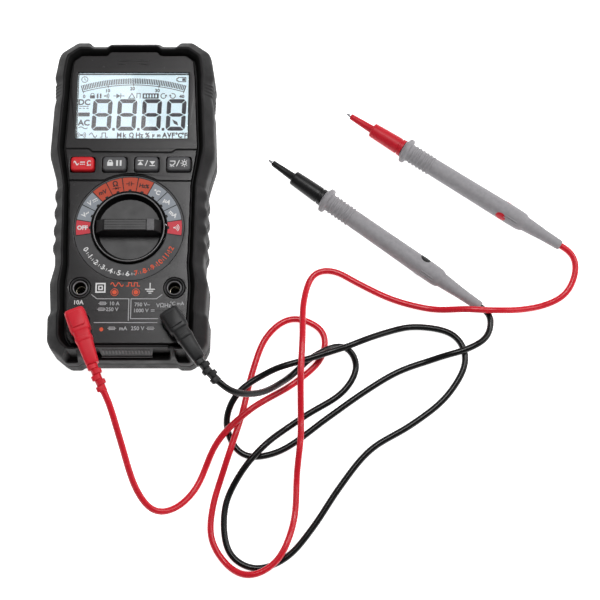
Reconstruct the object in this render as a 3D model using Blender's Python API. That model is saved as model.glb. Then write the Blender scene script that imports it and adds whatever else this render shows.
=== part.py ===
"""Handheld digital multimeter with its two test leads.

The meter lies on its back: +Z is out of the face, +Y runs to the display end,
the origin is on the floor under the middle of the housing.  Dimensions below
are millimetres; everything is written to the scene in metres.
"""
import math

import bmesh
import bpy
import numpy as np
from mathutils import Matrix, Vector

MM = 0.001

# ---------------------------------------------------------------- dimensions
GAP = 0.35                      # clearance between neighbouring pieces

# side outline of the housing, right half, display end to jack end:
# (outermost edge x, y), (face panel edge x, y)
RIB_PITCH, RIB_TOP, RIB_COUNT = 10.2, 0.6, 4
HALF_TOP = [
    ((0.0, 92.6), (0.0, 84.8)),
    ((14.0, 92.6), (13.4, 84.8)),
    ((16.0, 91.2), (15.2, 82.4)),
    ((24.4, 91.2), (22.5, 82.4)),
    ((26.2, 93.7), (24.8, 82.4)),
    ((33.4, 93.7), (29.8, 82.4)),
    ((43.0, 87.2), (33.9, 79.4)),
    ((44.4, 84.0), (34.5, 76.5)),
    ((46.4, 71.5), (35.2, 69.0)),
    ((45.4, 68.3), (35.4, 66.0)),
    ((45.0, 58.8), (35.8, 57.5)),
    ((46.0, 54.0), (36.0, 53.0)),
    ((46.6, 40.0), (36.7, 39.0)),
    ((47.2, 26.5), (37.3, 27.6)),
    ((47.0, 23.5), (36.9, 24.8)),
    ((45.0, 16.8), (35.4, 14.5)),
    ((43.0, 9.8), (34.3, 7.3)),
    ((42.5, 6.0), (34.1, 4.6)),
]
HALF_BOTTOM = [
    ((42.2, -36.5), (33.1, -36.5)),
    ((42.1, -40.5), (33.2, -41.0)),
    ((44.9, -50.5), (35.2, -52.5)),
    ((44.6, -56.0), (35.3, -56.0)),
    ((43.8, -67.3), (34.8, -67.3)),
    ((45.4, -69.8), (34.7, -70.0)),
    ((45.2, -83.0), (34.4, -80.5)),
    ((43.2, -87.2), (33.6, -83.3)),
    ((36.4, -92.4), (31.3, -86.0)),
    ((33.6, -93.7), (29.0, -86.0)),
    ((28.2, -93.7), (26.0, -86.0)),
    ((26.2, -92.3), (24.5, -86.0)),
    ((0.0, -92.3), (0.0, -86.0)),
]
RIB_IN, RIB_OUT = 42.4, 43.6    # grip ribs at the waist

FACE_Z = 45.0                   # face panel
RIM_Z = 46.5                    # crest of the rubber bumper
SPLIT_Z = 22.1                  # parting line of the two housing halves
PANEL_UNDER = 42.6

LCD_HALF_X, LCD_Y0, LCD_Y1 = 31.2, 32.6, 71.8
BUTTON_X = (-26.85, -8.95, 8.95, 26.85)
BUTTON_Y = 16.6
BUTTON_HALF = (6.65, 4.2)
BUTTON_TRAVEL = 1.0
DIAL = (0.0, -20.2)
KNOB_R, KNOB_TOP = 20.2, 50.6     # the knob is a dish let into the face, with a bar across it
KNOB_UNDER, DISH_Z = 38.4, 41.4
DIAL_PLATE_R = 30.2
JACK_X, JACK_Y_UPPER, JACK_Y_LOWER = 25.8, -54.8, -73.8
JACK_R, JACK_WELL_R = 6.0, 3.4
SLEEVE_R, SLEEVE_BORE, SLEEVE_TOP = 3.05, 2.3, 38.0
PCB_Z0, PCB_Z1 = 28.0, 29.6
SCREWS = ((-26.0, 78.4), (26.0, 78.4), (-14.0, -82.4), (14.0, -82.4))
STAND_PIVOT = (69.5, 1.75)      # y, z of the tilt stand's pin
DOOR_Y0, DOOR_Y1, DOOR_HALF_X = -56.0, -13.0, 29.4
DOOR_SCREW_Y = -52.6

CORD_R = 1.85
CORD_POINTS = 78
PLUG_REACH = 42.2               # pin axis to the end of the strain relief
RED_PLUG_ANGLE, BLACK_PLUG_ANGLE = 20.4, 33.6
RED_PLUG_BEND, BLACK_PLUG_BEND = 5.0, 16.0      # how far the strain relief gives
RED_PROBE = ((123.0, 61.0), (245.4, -18.4))     # tip, lead end
BLACK_PROBE = ((77.2, 32.0), (197.9, -55.0))
GUARD_AT, GUARD_R, HEEL_AT, HEEL_R = 40.8, 7.5, 118.0, 5.4

# plan of each lead from its plug to its probe
RED_ROUTE = [
    (-2, -138), (6, -163), (15, -173), (25, -171), (36, -160), (48, -134),
    (66, -116), (76, -109), (94, -97), (107, -84), (108, -69), (90, -61),
    (76, -71), (68, -91), (61, -121), (55, -140), (46, -170), (46, -188),
    (58, -204), (68, -207), (82, -199), (91, -178), (93, -149), (95, -131),
    (95, -113), (95, -95), (96, -76), (97, -50), (103, -34), (115, -33),
    (124, -38), (148, -50), (172, -56), (188, -57), (203, -58), (220, -57),
    (247, -47), (254, -30),
]
BLACK_ROUTE = [
    (61, -113), (73, -110), (87, -98), (101, -85), (120, -78), (127, -88),
    (120, -103), (97, -118), (78, -132), (62, -150), (53, -169), (56, -195),
    (70, -203), (87, -197), (102, -180), (116, -159), (134, -137),
    (157, -123), (178, -106), (189, -85), (183, -71), (158, -66), (146, -69),
    (122, -79), (98, -87), (76, -94), (59, -106), (53, -121), (59, -137),
    (66, -141), (83, -138), (110, -119), (131, -104), (151, -92), (175, -84),
    (187, -81), (201, -73), (204, -61),
]
RED_DROP, BLACK_DROP = 100.0, 55.0
# which strand lies on top at each crossing, in order along the first strand
OVER_RED_RED = "122"
OVER_RED_BLACK = "122221111111"
OVER_BLACK_BLACK = "12212"

# ------------------------------------------------------------------ clean up
for _o in list(bpy.data.objects):
    bpy.data.objects.remove(_o, do_unlink=True)


# ------------------------------------------------------------------ materials
def material(name, rgb, rough, metal=0.0, alpha=1.0):
    m = bpy.data.materials.new(name)
    m.use_nodes = True
    b = m.node_tree.nodes["Principled BSDF"]
    b.inputs["Base Color"].default_value = (*rgb, 1.0)
    b.inputs["Roughness"].default_value = rough
    b.inputs["Metallic"].default_value = metal
    b.inputs["Alpha"].default_value = alpha
    return m


M_CASE = material("case_black", (0.030, 0.029, 0.030), 0.55)
M_TPE = material("bumper_tpe", (0.018, 0.018, 0.019), 0.62)
M_KNOB = material("knob_black", (0.020, 0.020, 0.021), 0.42)
M_GREY = material("button_grey", (0.10, 0.10, 0.105), 0.50)
M_RED = material("signal_red", (0.56, 0.035, 0.045), 0.42)
M_PRINT = material("dial_print", (0.30, 0.10, 0.05), 0.55)
M_CLEAR = material("clear_lens", (0.85, 0.90, 0.93), 0.08, alpha=0.35)
M_LCD = material("lcd_glass", (0.62, 0.77, 0.84), 0.15)
M_WHITE = material("white_plastic", (0.80, 0.80, 0.78), 0.45)
M_PCB = material("pcb_green", (0.02, 0.12, 0.05), 0.45)
M_CHIP = material("chip_black", (0.015, 0.015, 0.016), 0.40)
M_BRASS = material("brass_plated", (0.62, 0.52, 0.30), 0.28, 1.0)
M_STEEL = material("steel", (0.58, 0.58, 0.60), 0.30, 1.0)
M_CERAMIC = material("fuse_ceramic", (0.80, 0.76, 0.66), 0.40)
M_CELL = material("cell_sleeve", (0.05, 0.16, 0.40), 0.35)
M_BLACKLEAD = material("lead_black", (0.014, 0.014, 0.015), 0.38)
M_REDLEAD = material("lead_red", (0.60, 0.025, 0.040), 0.38)
M_PROBE = material("probe_grey", (0.25, 0.245, 0.25), 0.52)


# -------------------------------------------------------------- mesh helpers
def make(name, verts, faces, mat):
    """A closed mesh from millimetre vertices, faces turned outward."""
    me = bpy.data.meshes.new(name)
    bm = bmesh.new()
    vs = [bm.verts.new((v[0] * MM, v[1] * MM, v[2] * MM)) for v in verts]
    for f in faces:
        bm.faces.new([vs[i] for i in f])
    bmesh.ops.recalc_face_normals(bm, faces=bm.faces)
    bm.to_mesh(me)
    bm.free()
    ob = bpy.data.objects.new(name, me)
    bpy.context.scene.collection.objects.link(ob)
    me.materials.append(mat)
    return ob


def loft(name, loops, mat, closed=False):
    """Skin equal-length vertex loops; cap the ends unless it closes on itself."""
    n = len(loops[0])
    verts = [p for lp in loops for p in lp]
    faces = []
    rows = len(loops)
    for r in range(rows if closed else rows - 1):
        a, b = r * n, ((r + 1) % rows) * n
        for i in range(n):
            j = (i + 1) % n
            faces.append((a + i, a + j, b + j, b + i))
    if not closed:
        faces.append(tuple(range(n)))
        faces.append(tuple(range((rows - 1) * n, rows * n)))
    return make(name, verts, faces, mat)


def prism(name, outline, z0, z1, mat):
    return loft(name, [[(x, y, z0) for x, y in outline],
                       [(x, y, z1) for x, y in outline]], mat)


def box(name, lo, hi, mat):
    return prism(name, [(lo[0], lo[1]), (hi[0], lo[1]), (hi[0], hi[1]),
                        (lo[0], hi[1])], lo[2], hi[2], mat)


def ring_points(cx, cy, r, n):
    return [(cx + r * math.cos(2 * math.pi * k / n),
             cy + r * math.sin(2 * math.pi * k / n)) for k in range(n)]


def cyl(name, cx, cy, r, z0, z1, mat, n=24):
    return prism(name, ring_points(cx, cy, r, n), z0, z1, mat)


def tube(name, cx, cy, r_out, r_in, z0, z1, mat, n=28):
    o, i = ring_points(cx, cy, r_out, n), ring_points(cx, cy, r_in, n)
    return loft(name, [[(x, y, z0) for x, y in o], [(x, y, z1) for x, y in o],
                       [(x, y, z1) for x, y in i], [(x, y, z0) for x, y in i]],
                mat, closed=True)


def lathe(name, profile, mat, n, base, axis):
    """Turn (radius, distance) points about an axis; ends lie on the axis."""
    base, axis = Vector(base), Vector(axis).normalized()
    side = axis.cross(Vector((0, 0, 1)))
    if side.length < 1e-6:
        side = Vector((1, 0, 0))
    side.normalize()
    up = side.cross(axis).normalized()
    verts, rows = [], []
    for r, d in profile:
        c = base + axis * d
        if r < 1e-9:
            rows.append([len(verts)])
            verts.append(tuple(c))
        else:
            rows.append(list(range(len(verts), len(verts) + n)))
            for k in range(n):
                a = 2 * math.pi * k / n
                verts.append(tuple(c + side * (r * math.cos(a)) + up * (r * math.sin(a))))
    faces = []
    for a, b in zip(rows[:-1], rows[1:]):
        for k in range(n):
            j = (k + 1) % n
            if len(a) == 1:
                faces.append((a[0], b[j], b[k]))
            elif len(b) == 1:
                faces.append((a[k], a[j], b[0]))
            else:
                faces.append((a[k], a[j], b[j], b[k]))
    return make(name, verts, faces, mat)


def rod_x(name, y, z, r, x0, x1, mat, n=20):
    """A round bar along X."""
    return lathe(name, [(0, 0), (r, 0), (r, x1 - x0), (0, x1 - x0)], mat, n,
                 (x0, y, z), (1, 0, 0))


def rod_y(name, x, z, r, y0, y1, mat, n=20):
    return lathe(name, [(0, 0), (r, 0), (r, y1 - y0), (0, y1 - y0)], mat, n,
                 (x, y0, z), (0, 1, 0))


def combine(ob, tool, op):
    """Boolean with a helper solid, which is then thrown away."""
    tool.hide_render = True
    tool.display_type = 'WIRE'
    mod = ob.modifiers.new(op.lower(), 'BOOLEAN')
    mod.operation = op
    mod.solver = 'EXACT'
    mod.object = tool
    bpy.context.view_layer.update()
    dg = bpy.context.evaluated_depsgraph_get()
    me = bpy.data.meshes.new_from_object(ob.evaluated_get(dg))
    ob.modifiers.clear()
    old = ob.data
    ob.data = me
    bpy.data.meshes.remove(old)
    used = tool.data
    bpy.data.objects.remove(tool, do_unlink=True)
    bpy.data.meshes.remove(used)
    return ob


def cut(ob, tool):
    return combine(ob, tool, 'DIFFERENCE')


def join(ob, tool):
    return combine(ob, tool, 'UNION')


def pivot(ob, at):
    """Move the object's origin to a joint axis, shape unmoved."""
    v = Vector(at) * MM
    ob.data.transform(Matrix.Translation(-v))
    ob.location = v
    return ob


def smooth(ob, angle=35.0):
    ob.data.shade_smooth()
    ob.data.set_sharp_from_angle(angle=math.radians(angle))
    return ob


# ------------------------------------------------------------- housing shells
def half_outline(ribs):
    pts = list(HALF_TOP)
    for k in range(RIB_COUNT if ribs else 0):
        y = RIB_TOP - k * RIB_PITCH
        px = 34.0 - 0.25 * k
        for x, dy in ((RIB_IN, 3.2), (RIB_OUT, 1.9), (RIB_OUT, -1.9), (RIB_IN, -3.2)):
            pts.append(((x, y + dy), (px, y + dy)))
    pts += HALF_BOTTOM
    return pts


def shell_loop(s, z, ribs=False):
    """Housing outline at height z; s = 0 outermost edge, s = 1 panel edge."""
    right = [(ox + (px - ox) * s, oy + (py - oy) * s) for (ox, oy), (px, py) in half_outline(ribs)]
    left = [(-x, y) for x, y in right[-2:0:-1]]
    return [(x, y, z) for x, y in right + left]


T = M_CASE
rear_case = loft("rear_case", [shell_loop(s, z) for s, z in (
    (0.95, 0.0), (0.76, 1.6), (0.66, 5.5), (0.66, SPLIT_Z - 0.2),
    (0.90, SPLIT_Z - 0.2), (0.90, 4.0), (0.98, 2.4))], M_CASE)
join(rear_case, box("boss", (-28.0, -13.0, 2.0), (28.0, 75.0, 5.6), T))
join(rear_case, box("boss", (-4.5, -60.5, 1.8), (4.5, -49.2, 8.5), T))
for x, y in SCREWS:
    join(rear_case, cyl("post", x, y, 4.0, 2.0, SPLIT_Z - 0.6, T, 14))
cut(rear_case, box("bay", (-25.4, -7.0, -1.0), (25.4, 72.4, 3.4), T))
cut(rear_case, box("finger", (-9.0, -11.5, -1.0), (9.0, -6.5, 2.6), T))
cut(rear_case, rod_x("bore", *STAND_PIVOT, 0.95, -27.2, 27.2, T, 12))
cut(rear_case, box("door", (-DOOR_HALF_X, DOOR_Y0, -1.0), (DOOR_HALF_X, DOOR_Y1, 2.5), T))
cut(rear_case, cyl("hole", 0.0, DOOR_SCREW_Y, 1.5, -1.0, 7.4, T, 16))
for x, y in SCREWS:
    cut(rear_case, cyl("head", x, y, 3.1, -1.0, 8.0, T, 14))
    cut(rear_case, cyl("hole", x, y, 1.75, 7.0, SPLIT_Z + 1, T, 10))

front_case = loft("front_case", [shell_loop(s, z) for s, z in (
    (1.0, FACE_Z), (1.0, 42.1), (0.97, 41.7), (0.66, 41.7), (0.66, SPLIT_Z + 0.2),
    (0.90, SPLIT_Z + 0.2), (0.90, 39.3), (1.12, 39.3), (1.12, PANEL_UNDER))], M_CASE)
for x, y in SCREWS:
    join(front_case, cyl("post", x, y, 3.2, SPLIT_Z + 0.5, PANEL_UNDER + 0.6, T, 14))
    cut(front_case, cyl("hole", x, y, 1.75, SPLIT_Z - 1, 33.0, T, 10))
cut(front_case, box("window", (-31.7, LCD_Y0 - 0.5, 40.0), (31.7, LCD_Y1 + 0.5, 50.0), T))
for x in BUTTON_X:
    cut(front_case, box("key", (x - 7.1, BUTTON_Y - 4.65, 40.0), (x + 7.1, BUTTON_Y + 4.65, 50.0), T))
cut(front_case, cyl("dial", *DIAL, DIAL_PLATE_R + GAP, 43.7, 50.0, T, 40))
cut(front_case, cyl("dish", *DIAL, KNOB_R + 0.6, 39.0, 50.0, T, 48))
for sx in (-1, 1):
    for y in (JACK_Y_UPPER, JACK_Y_LOWER):
        cut(front_case, cyl("jack", sx * JACK_X, y, JACK_R + 0.3, 39.0, 50.0, T, 20))
cut(front_case, rod_y("torch", 0.0, 34.0, 2.7, 78.0, 96.0, T, 20))

bumper_frame = loft("bumper_frame", [shell_loop(s, z, True) for s, z in (
    (0.42, 5.0), (0.05, 8.6), (0.0, 12.0), (0.0, 39.2), (0.64, 46.0), (0.70, RIM_Z),
    (0.90, RIM_Z), (0.90, 42.1), (0.625, 42.1), (0.625, 5.0))], M_TPE, closed=True)
cut(bumper_frame, box("mouth", (-25.4, -100.0, 31.0), (25.4, -84.0, 60.0), M_TPE))
cut(bumper_frame, rod_y("torch", 0.0, 34.0, 2.7, 84.0, 96.0, M_TPE, 20))

# --------------------------------------------------------- face plate and LCD
dial_plate = tube("dial_plate", *DIAL, DIAL_PLATE_R, KNOB_R + 1.2, 44.0, FACE_Z, M_PRINT, 40)
lcd_window = box("lcd_window", (-31.35, LCD_Y0 - 0.15, 43.0), (31.35, LCD_Y1 + 0.15, 44.7), M_CLEAR)
lcd_panel = box("lcd_panel", (-31.8, LCD_Y0 - 1.0, 39.7), (31.8, LCD_Y1 + 1.0, 41.9), M_LCD)
lcd_frame = box("lcd_frame", (-33.4, 30.2, 30.0), (33.4, 74.2, 39.0), M_WHITE)
cut(lcd_frame, box("well", (-31.6, 32.0, 28.0), (31.6, 72.4, 41.0), M_WHITE))
backlight = box("backlight_panel", (-31.2, 38.0, 35.6), (31.2, 72.0, 38.9), M_WHITE)
zebra = box("zebra_strip", (-29.0, 33.0, 29.95), (29.0, 35.6, 39.3), M_GREY)

# --------------------------------------------------------------- electronics
pcb_out = [(-28.6, -79.0), (28.6, -79.0), (32.6, -75.0), (32.6, 68.5), (28.6, 72.5),
           (-28.6, 72.5), (-32.6, 68.5), (-32.6, -75.0)]
main_pcb = prism("main_pcb", pcb_out, PCB_Z0, PCB_Z1, M_PCB)
main_ic = box("main_ic", (-7.0, 43.0, 26.0), (7.0, 57.0, 27.65), M_CHIP)
buzzer = tube("buzzer", 21.0, 2.0, 6.0, 1.0, 20.6, 27.65, M_CHIP, 18)
shunt = loft("shunt_bar", [[(-11.0, y, 27.6), (-11.0, y, 22.0), (11.0, y, 22.0), (11.0, y, 27.6),
                            (9.4, y, 27.6), (9.4, y, 23.6), (-9.4, y, 23.6), (-9.4, y, 27.6)]
                           for y in (-76.4, -74.8)], M_BRASS)


def u_clip(name, y, half_len):
    prof = [(-4.4, 27.6), (4.4, 27.6), (4.4, 20.0), (3.55, 20.0), (3.55, 26.5),
            (-3.55, 26.5), (-3.55, 20.0), (-4.4, 20.0)]
    return loft(name, [[(x, y + dy, z) for dy, z in prof] for x in (-half_len, half_len)], M_STEEL)


def fuse(name, y, half_len):
    n = 14
    return lathe(name, [(0, 0), (3.15, 0), (3.15, 6.0), (2.85, 6.0), (2.85, 2 * half_len - 6.0),
                        (3.15, 2 * half_len - 6.0), (3.15, 2 * half_len), (0, 2 * half_len)],
                 M_CERAMIC, n, (-half_len, y, 22.9), (1, 0, 0))


u_clip("fuse_holder_high", -66.5, 17.0)
fuse("fuse_high", -66.5, 16.0)
u_clip("fuse_holder_low", -56.0, 12.0)
fuse("fuse_low", -56.0, 11.0)

torch_led = smooth(lathe("torch_led", [(0, 0), (2.3, 0), (2.3, 9.4), (1.9, 10.8), (1.0, 11.7), (0, 12.0)],
                         M_CLEAR, 20, (0.0, 79.4, 34.0), (0, 1, 0)))

keypad = box("keypad_membrane", (-33.4, 10.8, 36.0), (33.4, 22.4, 37.2), M_GREY)
for x in BUTTON_X:
    join(keypad, cyl("pill", x, BUTTON_Y, 2.6, 30.2, 36.4, M_GREY, 10))

for label, x, mat in (("button_function", BUTTON_X[0], M_RED), ("button_hold", BUTTON_X[1], M_GREY),
                      ("button_range", BUTTON_X[2], M_GREY), ("button_light", BUTTON_X[3], M_GREY)):
    rows = []
    for hx, hy, z in ((3.0, 2.4, 38.4), (3.0, 2.4, 40.9), (6.8, 5.5, 40.9), (6.8, 5.5, 42.1),
                      (BUTTON_HALF[0], BUTTON_HALF[1], 42.1), (BUTTON_HALF[0], BUTTON_HALF[1], 46.4),
                      (BUTTON_HALF[0] - 0.6, BUTTON_HALF[1] - 0.6, 47.2)):
        c = 0.22 * hy
        rows.append([(x + sx, BUTTON_Y + sy, z) for sx, sy in (
            (-hx + c, -hy), (hx - c, -hy), (hx, -hy + c), (hx, hy - c),
            (hx - c, hy), (-hx + c, hy), (-hx, hy - c), (-hx, -hy + c))])
    pivot(loft(label, rows, mat), (x, BUTTON_Y, 47.2))

# ------------------------------------------------------------ rotary selector
knob = lathe("selector_knob", [(0, 30.2), (4.2, 30.2), (4.2, KNOB_UNDER), (KNOB_R - 0.6, KNOB_UNDER), (KNOB_R, 39.0),
                               (KNOB_R, 45.6), (KNOB_R - 0.4, 46.2), (KNOB_R - 0.9, 46.2), (17.4, DISH_Z), (0, DISH_Z)],
             M_KNOB, 36, (*DIAL, 0.0), (0, 0, 1))
bar_side = [(-18.2, DISH_Z - 0.4), (18.2, DISH_Z - 0.4), (18.2, 46.6), (14.8, KNOB_TOP), (-14.2, KNOB_TOP), (-18.2, 46.6)]
bar = loft("bar", [[(x, DIAL[1] + w * (1.0 if z < 45 else 0.80), z) for x, z in bar_side]
                   for w in (-4.3, 4.3)], M_KNOB)
join(knob, bar)
pivot(smooth(knob), (*DIAL, 45.4))

teeth = 20
rotor_out = []
for k in range(teeth * 4):
    a = 2 * math.pi * k / (teeth * 4)
    r = 17.0 if k % 4 in (1, 2) else 16.2
    rotor_out.append((DIAL[0] + r * math.cos(a), DIAL[1] + r * math.sin(a)))
rotor = prism("selector_rotor", rotor_out, 34.6, 37.0, M_WHITE)
cut(rotor, cyl("shaft", *DIAL, 4.55, 30.0, 40.0, M_WHITE, 28))
pivot(rotor, (*DIAL, 34.6))

wiper_out = []
for r, order in ((15.0, range(0, 13)), (6.0, range(12, -1, -1))):
    for k in order:
        a = math.radians(105.0 + 150.0 * k / 12)
        wiper_out.append((DIAL[0] + r * math.cos(a), DIAL[1] + r * math.sin(a)))
wiper = prism("wiper_contacts", wiper_out, 33.6, 34.2, M_BRASS)
for r in (8.0, 11.0, 13.6):
    x = DIAL[0] - r
    join(wiper, box("finger", (x - 0.6, DIAL[1] - 1.0, 30.1), (x + 0.6, DIAL[1] + 1.0, 33.9), M_BRASS))
pivot(wiper, (*DIAL, 33.6))

spring_top = [(23.4 - 0.5 - 4.6 * math.cos(a) ** 2, DIAL[1] + 9.0 * math.sin(a))
              for a in [math.radians(-90 + 15 * k) for k in range(13)]]
spring_out = spring_top + [(x + 0.7, y) for x, y in reversed(spring_top)]
detent = prism("detent_spring", spring_out, 34.8, 36.8, M_STEEL)

# ----------------------------------------------------------------- input jacks
JACKS = (("high_current", -1, JACK_Y_UPPER), ("volt_ohm", 1, JACK_Y_UPPER),
         ("low_current", -1, JACK_Y_LOWER), ("common", 1, JACK_Y_LOWER))
for label, sx, y in JACKS:
    tube("jack_housing_" + label, sx * JACK_X, y, JACK_R, JACK_WELL_R, 30.0, FACE_Z + 0.5, M_CASE, 20)
    smooth(tube("jack_sleeve_" + label, sx * JACK_X, y, SLEEVE_R, SLEEVE_BORE, 29.95, SLEEVE_TOP, M_BRASS, 16))

# --------------------------------------------------------- power and rear parts
for label, y in (("battery_upper", -24.0), ("battery_lower", -40.0)):
    smooth(lathe(label, [(0, 0), (6.6, 0), (7.1, 0.5), (7.1, 47.4), (6.6, 48.0), (2.7, 48.0),
                         (2.7, 49.4), (0, 49.4)], M_CELL, 18, (-24.7, y, 10.5), (1, 0, 0)))
for label, x in (("battery_contact_left", -26.8), ("battery_contact_right", 26.2)):
    box(label, (x, -48.0, 4.2), (x + 0.6, -16.0, 17.0), M_STEEL)
door = box("battery_door", (-DOOR_HALF_X + GAP, DOOR_Y0 + GAP, 0.25),
           (DOOR_HALF_X - GAP, DOOR_Y1 - GAP, 2.1), M_CASE)
cut(door, cyl("hole", 0.0, DOOR_SCREW_Y, 2.9, -1.0, 1.3, M_CASE, 20))
cut(door, cyl("hole", 0.0, DOOR_SCREW_Y, 1.5, -1.0, 5.0, M_CASE, 16))


def screw(name, x, y, head_z, head_r, head_h, shank_r, tip_z):
    ob = lathe(name, [(0, 0), (head_r, 0), (head_r, head_h), (shank_r, head_h),
                      (shank_r, tip_z - head_z - 1.0), (0, tip_z - head_z)],
               M_STEEL, 14, (x, y, head_z), (0, 0, 1))
    return smooth(ob)


screw("battery_door_screw", 0.0, DOOR_SCREW_Y, 0.3, 2.5, 0.7, 1.15, 6.9)
for k, (x, y) in enumerate(SCREWS):
    screw("case_screw_%d" % (k + 1), x, y, 5.6, 2.7, 2.0, 1.4, 31.5)

py, pz = STAND_PIVOT
stand = box("tilt_stand", (-24.9, -6.5, 0.4), (24.9, py, 2.9), M_CASE)
join(stand, rod_x("barrel", py, pz, 1.35, -24.9, 24.9, M_CASE, 20))
cut(stand, rod_x("bore", py, pz, 0.9, -30.0, 30.0, M_CASE, 12))
pivot(stand, (0.0, py, pz))
stand_pin = smooth(rod_x("stand_pin", py, pz, 0.6, -26.6, 26.6, M_STEEL, 12))


# ------------------------------------------------------------------ test leads
def plug(prefix, sx, angle, bend, mat):
    px, pyy = sx * JACK_X, JACK_Y_LOWER
    base = Vector((px, pyy, 0))
    boot = 27.0

    def spine(u):
        """Point and heading on the plug's centre line, u from the pin axis."""
        p = base.copy()
        steps = 24
        for k in range(steps):
            m = u * (k + 0.5) / steps
            h = math.radians(angle + bend * max(0.0, (m - boot) / (PLUG_REACH - boot)))
            p += Vector((math.sin(h), -math.cos(h), 0)) * (u / steps)
        h = math.radians(angle + bend * max(0.0, (u - boot) / (PLUG_REACH - boot)))
        return p, Vector((math.sin(h), -math.cos(h), 0)), Vector((math.cos(h), math.sin(h), 0))

    rows = []
    for u, hw, zl, zh in ((-5.0, 4.6, 47.2, 55.6), (-4.1, 5.6, 46.4, 56.6), (7.6, 5.6, 46.4, 57.0),
                          (8.8, 4.9, 47.2, 56.2), (14.0, 4.6, 47.4, 55.6), (boot, 3.5, 47.8, 54.4),
                          (boot + 0.6, 3.1, 47.9, 53.9), (32.0, 2.95, 47.7, 53.3), (37.0, 2.75, 46.9, 52.2),
                          (PLUG_REACH, 2.5, 45.8, 50.8)):
        p, d, w = spine(u)
        zc, hz = 0.5 * (zl + zh), 0.5 * (zh - zl)
        c, e = 0.38 * hw, 0.38 * hz
        lean = 0.34 if u == PLUG_REACH else 0.0     # last face square to the falling lead
        rows.append([tuple(p + d * (lean * z) + w * x + Vector((0, 0, zc + z))) for x, z in (
            (-hw + c, -hz), (hw - c, -hz), (hw, -hz + e), (hw, hz - e),
            (hw - c, hz), (-hw + c, hz), (-hw, hz - e), (-hw, -hz + e))])
    ob = loft(prefix + "_plug", rows, mat)
    join(ob, cyl("collar", px, pyy, 3.05, 38.4, 49.0, mat, 24))
    smooth(ob, 40)
    smooth(lathe(prefix + "_plug_pin", [(0, 31.0), (1.4, 31.0), (1.95, 31.8), (1.95, 38.05), (0, 38.05)],
                 M_BRASS, 20, (px, pyy, 0.0), (0, 0, 1)))
    end, d, _ = spine(PLUG_REACH)
    return (end.x, end.y, 48.3), (d.x, d.y)


def probe(prefix, ends, mat):
    (tx, ty), (ex, ey) = ends
    length = math.hypot(ex - tx, ey - ty)
    slope = (HEEL_R - GUARD_R) / (HEEL_AT - GUARD_AT)
    z_at = lambda u: GUARD_R + 0.06 + slope * (u - GUARD_AT)
    tip, end = Vector((tx, ty, z_at(0))), Vector((ex, ey, z_at(length)))
    ax = end - tip
    n = 18
    smooth(lathe(prefix + "_probe_needle", [(0, 0), (0.3, 0.15), (1.0, 2.8), (1.0, 12.4), (0, 12.4)],
                 M_STEEL, 16, tip, ax))
    smooth(lathe(prefix + "_probe_nose", [(0, 13.0), (1.35, 13.0), (1.35, 3.6), (1.62, 3.8), (1.62, 17.0),
                                          (3.6, 17.4), (4.1, 18.2), (4.7, 38.1), (0, 38.1)],
                 mat, n, tip, ax))
    smooth(lathe(prefix + "_probe_handle", [(0, 38.5), (6.2, 38.5), (GUARD_R, 39.8), (GUARD_R, 41.4),
                                            (5.7, 43.2), (5.1, 46.0), (5.2, 56.0), (5.5, 90.0),
                                            (HEEL_R, HEEL_AT), (4.9, 122.0), (4.0, 124.5),
                                            (2.75, length - 0.4), (2.4, length), (0, length)],
                 M_PROBE, n, tip, ax))
    return tuple(end), ((ex - tx) / length, (ey - ty) / length)


def smooth_curve(points, per=30):
    """Dense plan curve through the route's points, evenly tensioned."""
    p = np.array(points, float)
    p = np.vstack([2 * p[0] - p[1], p, 2 * p[-1] - p[-2]])
    out = []
    for i in range(1, len(p) - 2):
        a, b, c, d = p[i - 1:i + 3]
        t0 = 0.0
        t1 = t0 + np.linalg.norm(b - a) ** 0.5
        t2 = t1 + np.linalg.norm(c - b) ** 0.5
        t3 = t2 + np.linalg.norm(d - c) ** 0.5
        for k in range(per):
            t = t1 + (t2 - t1) * k / per
            a1 = (t1 - t) / (t1 - t0) * a + (t - t0) / (t1 - t0) * b
            a2 = (t2 - t) / (t2 - t1) * b + (t - t1) / (t2 - t1) * c
            a3 = (t3 - t) / (t3 - t2) * c + (t - t2) / (t3 - t2) * d
            b1 = (t2 - t) / (t2 - t0) * a1 + (t - t0) / (t2 - t0) * a2
            b2 = (t3 - t) / (t3 - t1) * a2 + (t - t1) / (t3 - t1) * a3
            out.append((t2 - t) / (t2 - t1) * b1 + (t - t1) / (t2 - t1) * b2)
    out.append(p[-2])
    out = np.array(out)
    s = np.concatenate([[0.0], np.cumsum(np.hypot(*np.diff(out, axis=0).T))])
    grid = np.linspace(0.0, s[-1], int(round(s[-1])) + 1)
    xy = np.stack([np.interp(grid, s, out[:, k]) for k in (0, 1)], axis=1)
    kern = np.exp(-0.5 * (np.arange(-9, 10) / 4.0) ** 2)
    kern /= kern.sum()
    for k in (0, 1):
        ext = np.concatenate([2 * xy[0, k] - xy[9:0:-1, k], xy[:, k], 2 * xy[-1, k] - xy[-2:-11:-1, k]])
        xy[:, k] = np.convolve(ext, kern, mode="valid")
    s = np.concatenate([[0.0], np.cumsum(np.hypot(*np.diff(xy, axis=0).T))])
    return xy, s


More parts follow.
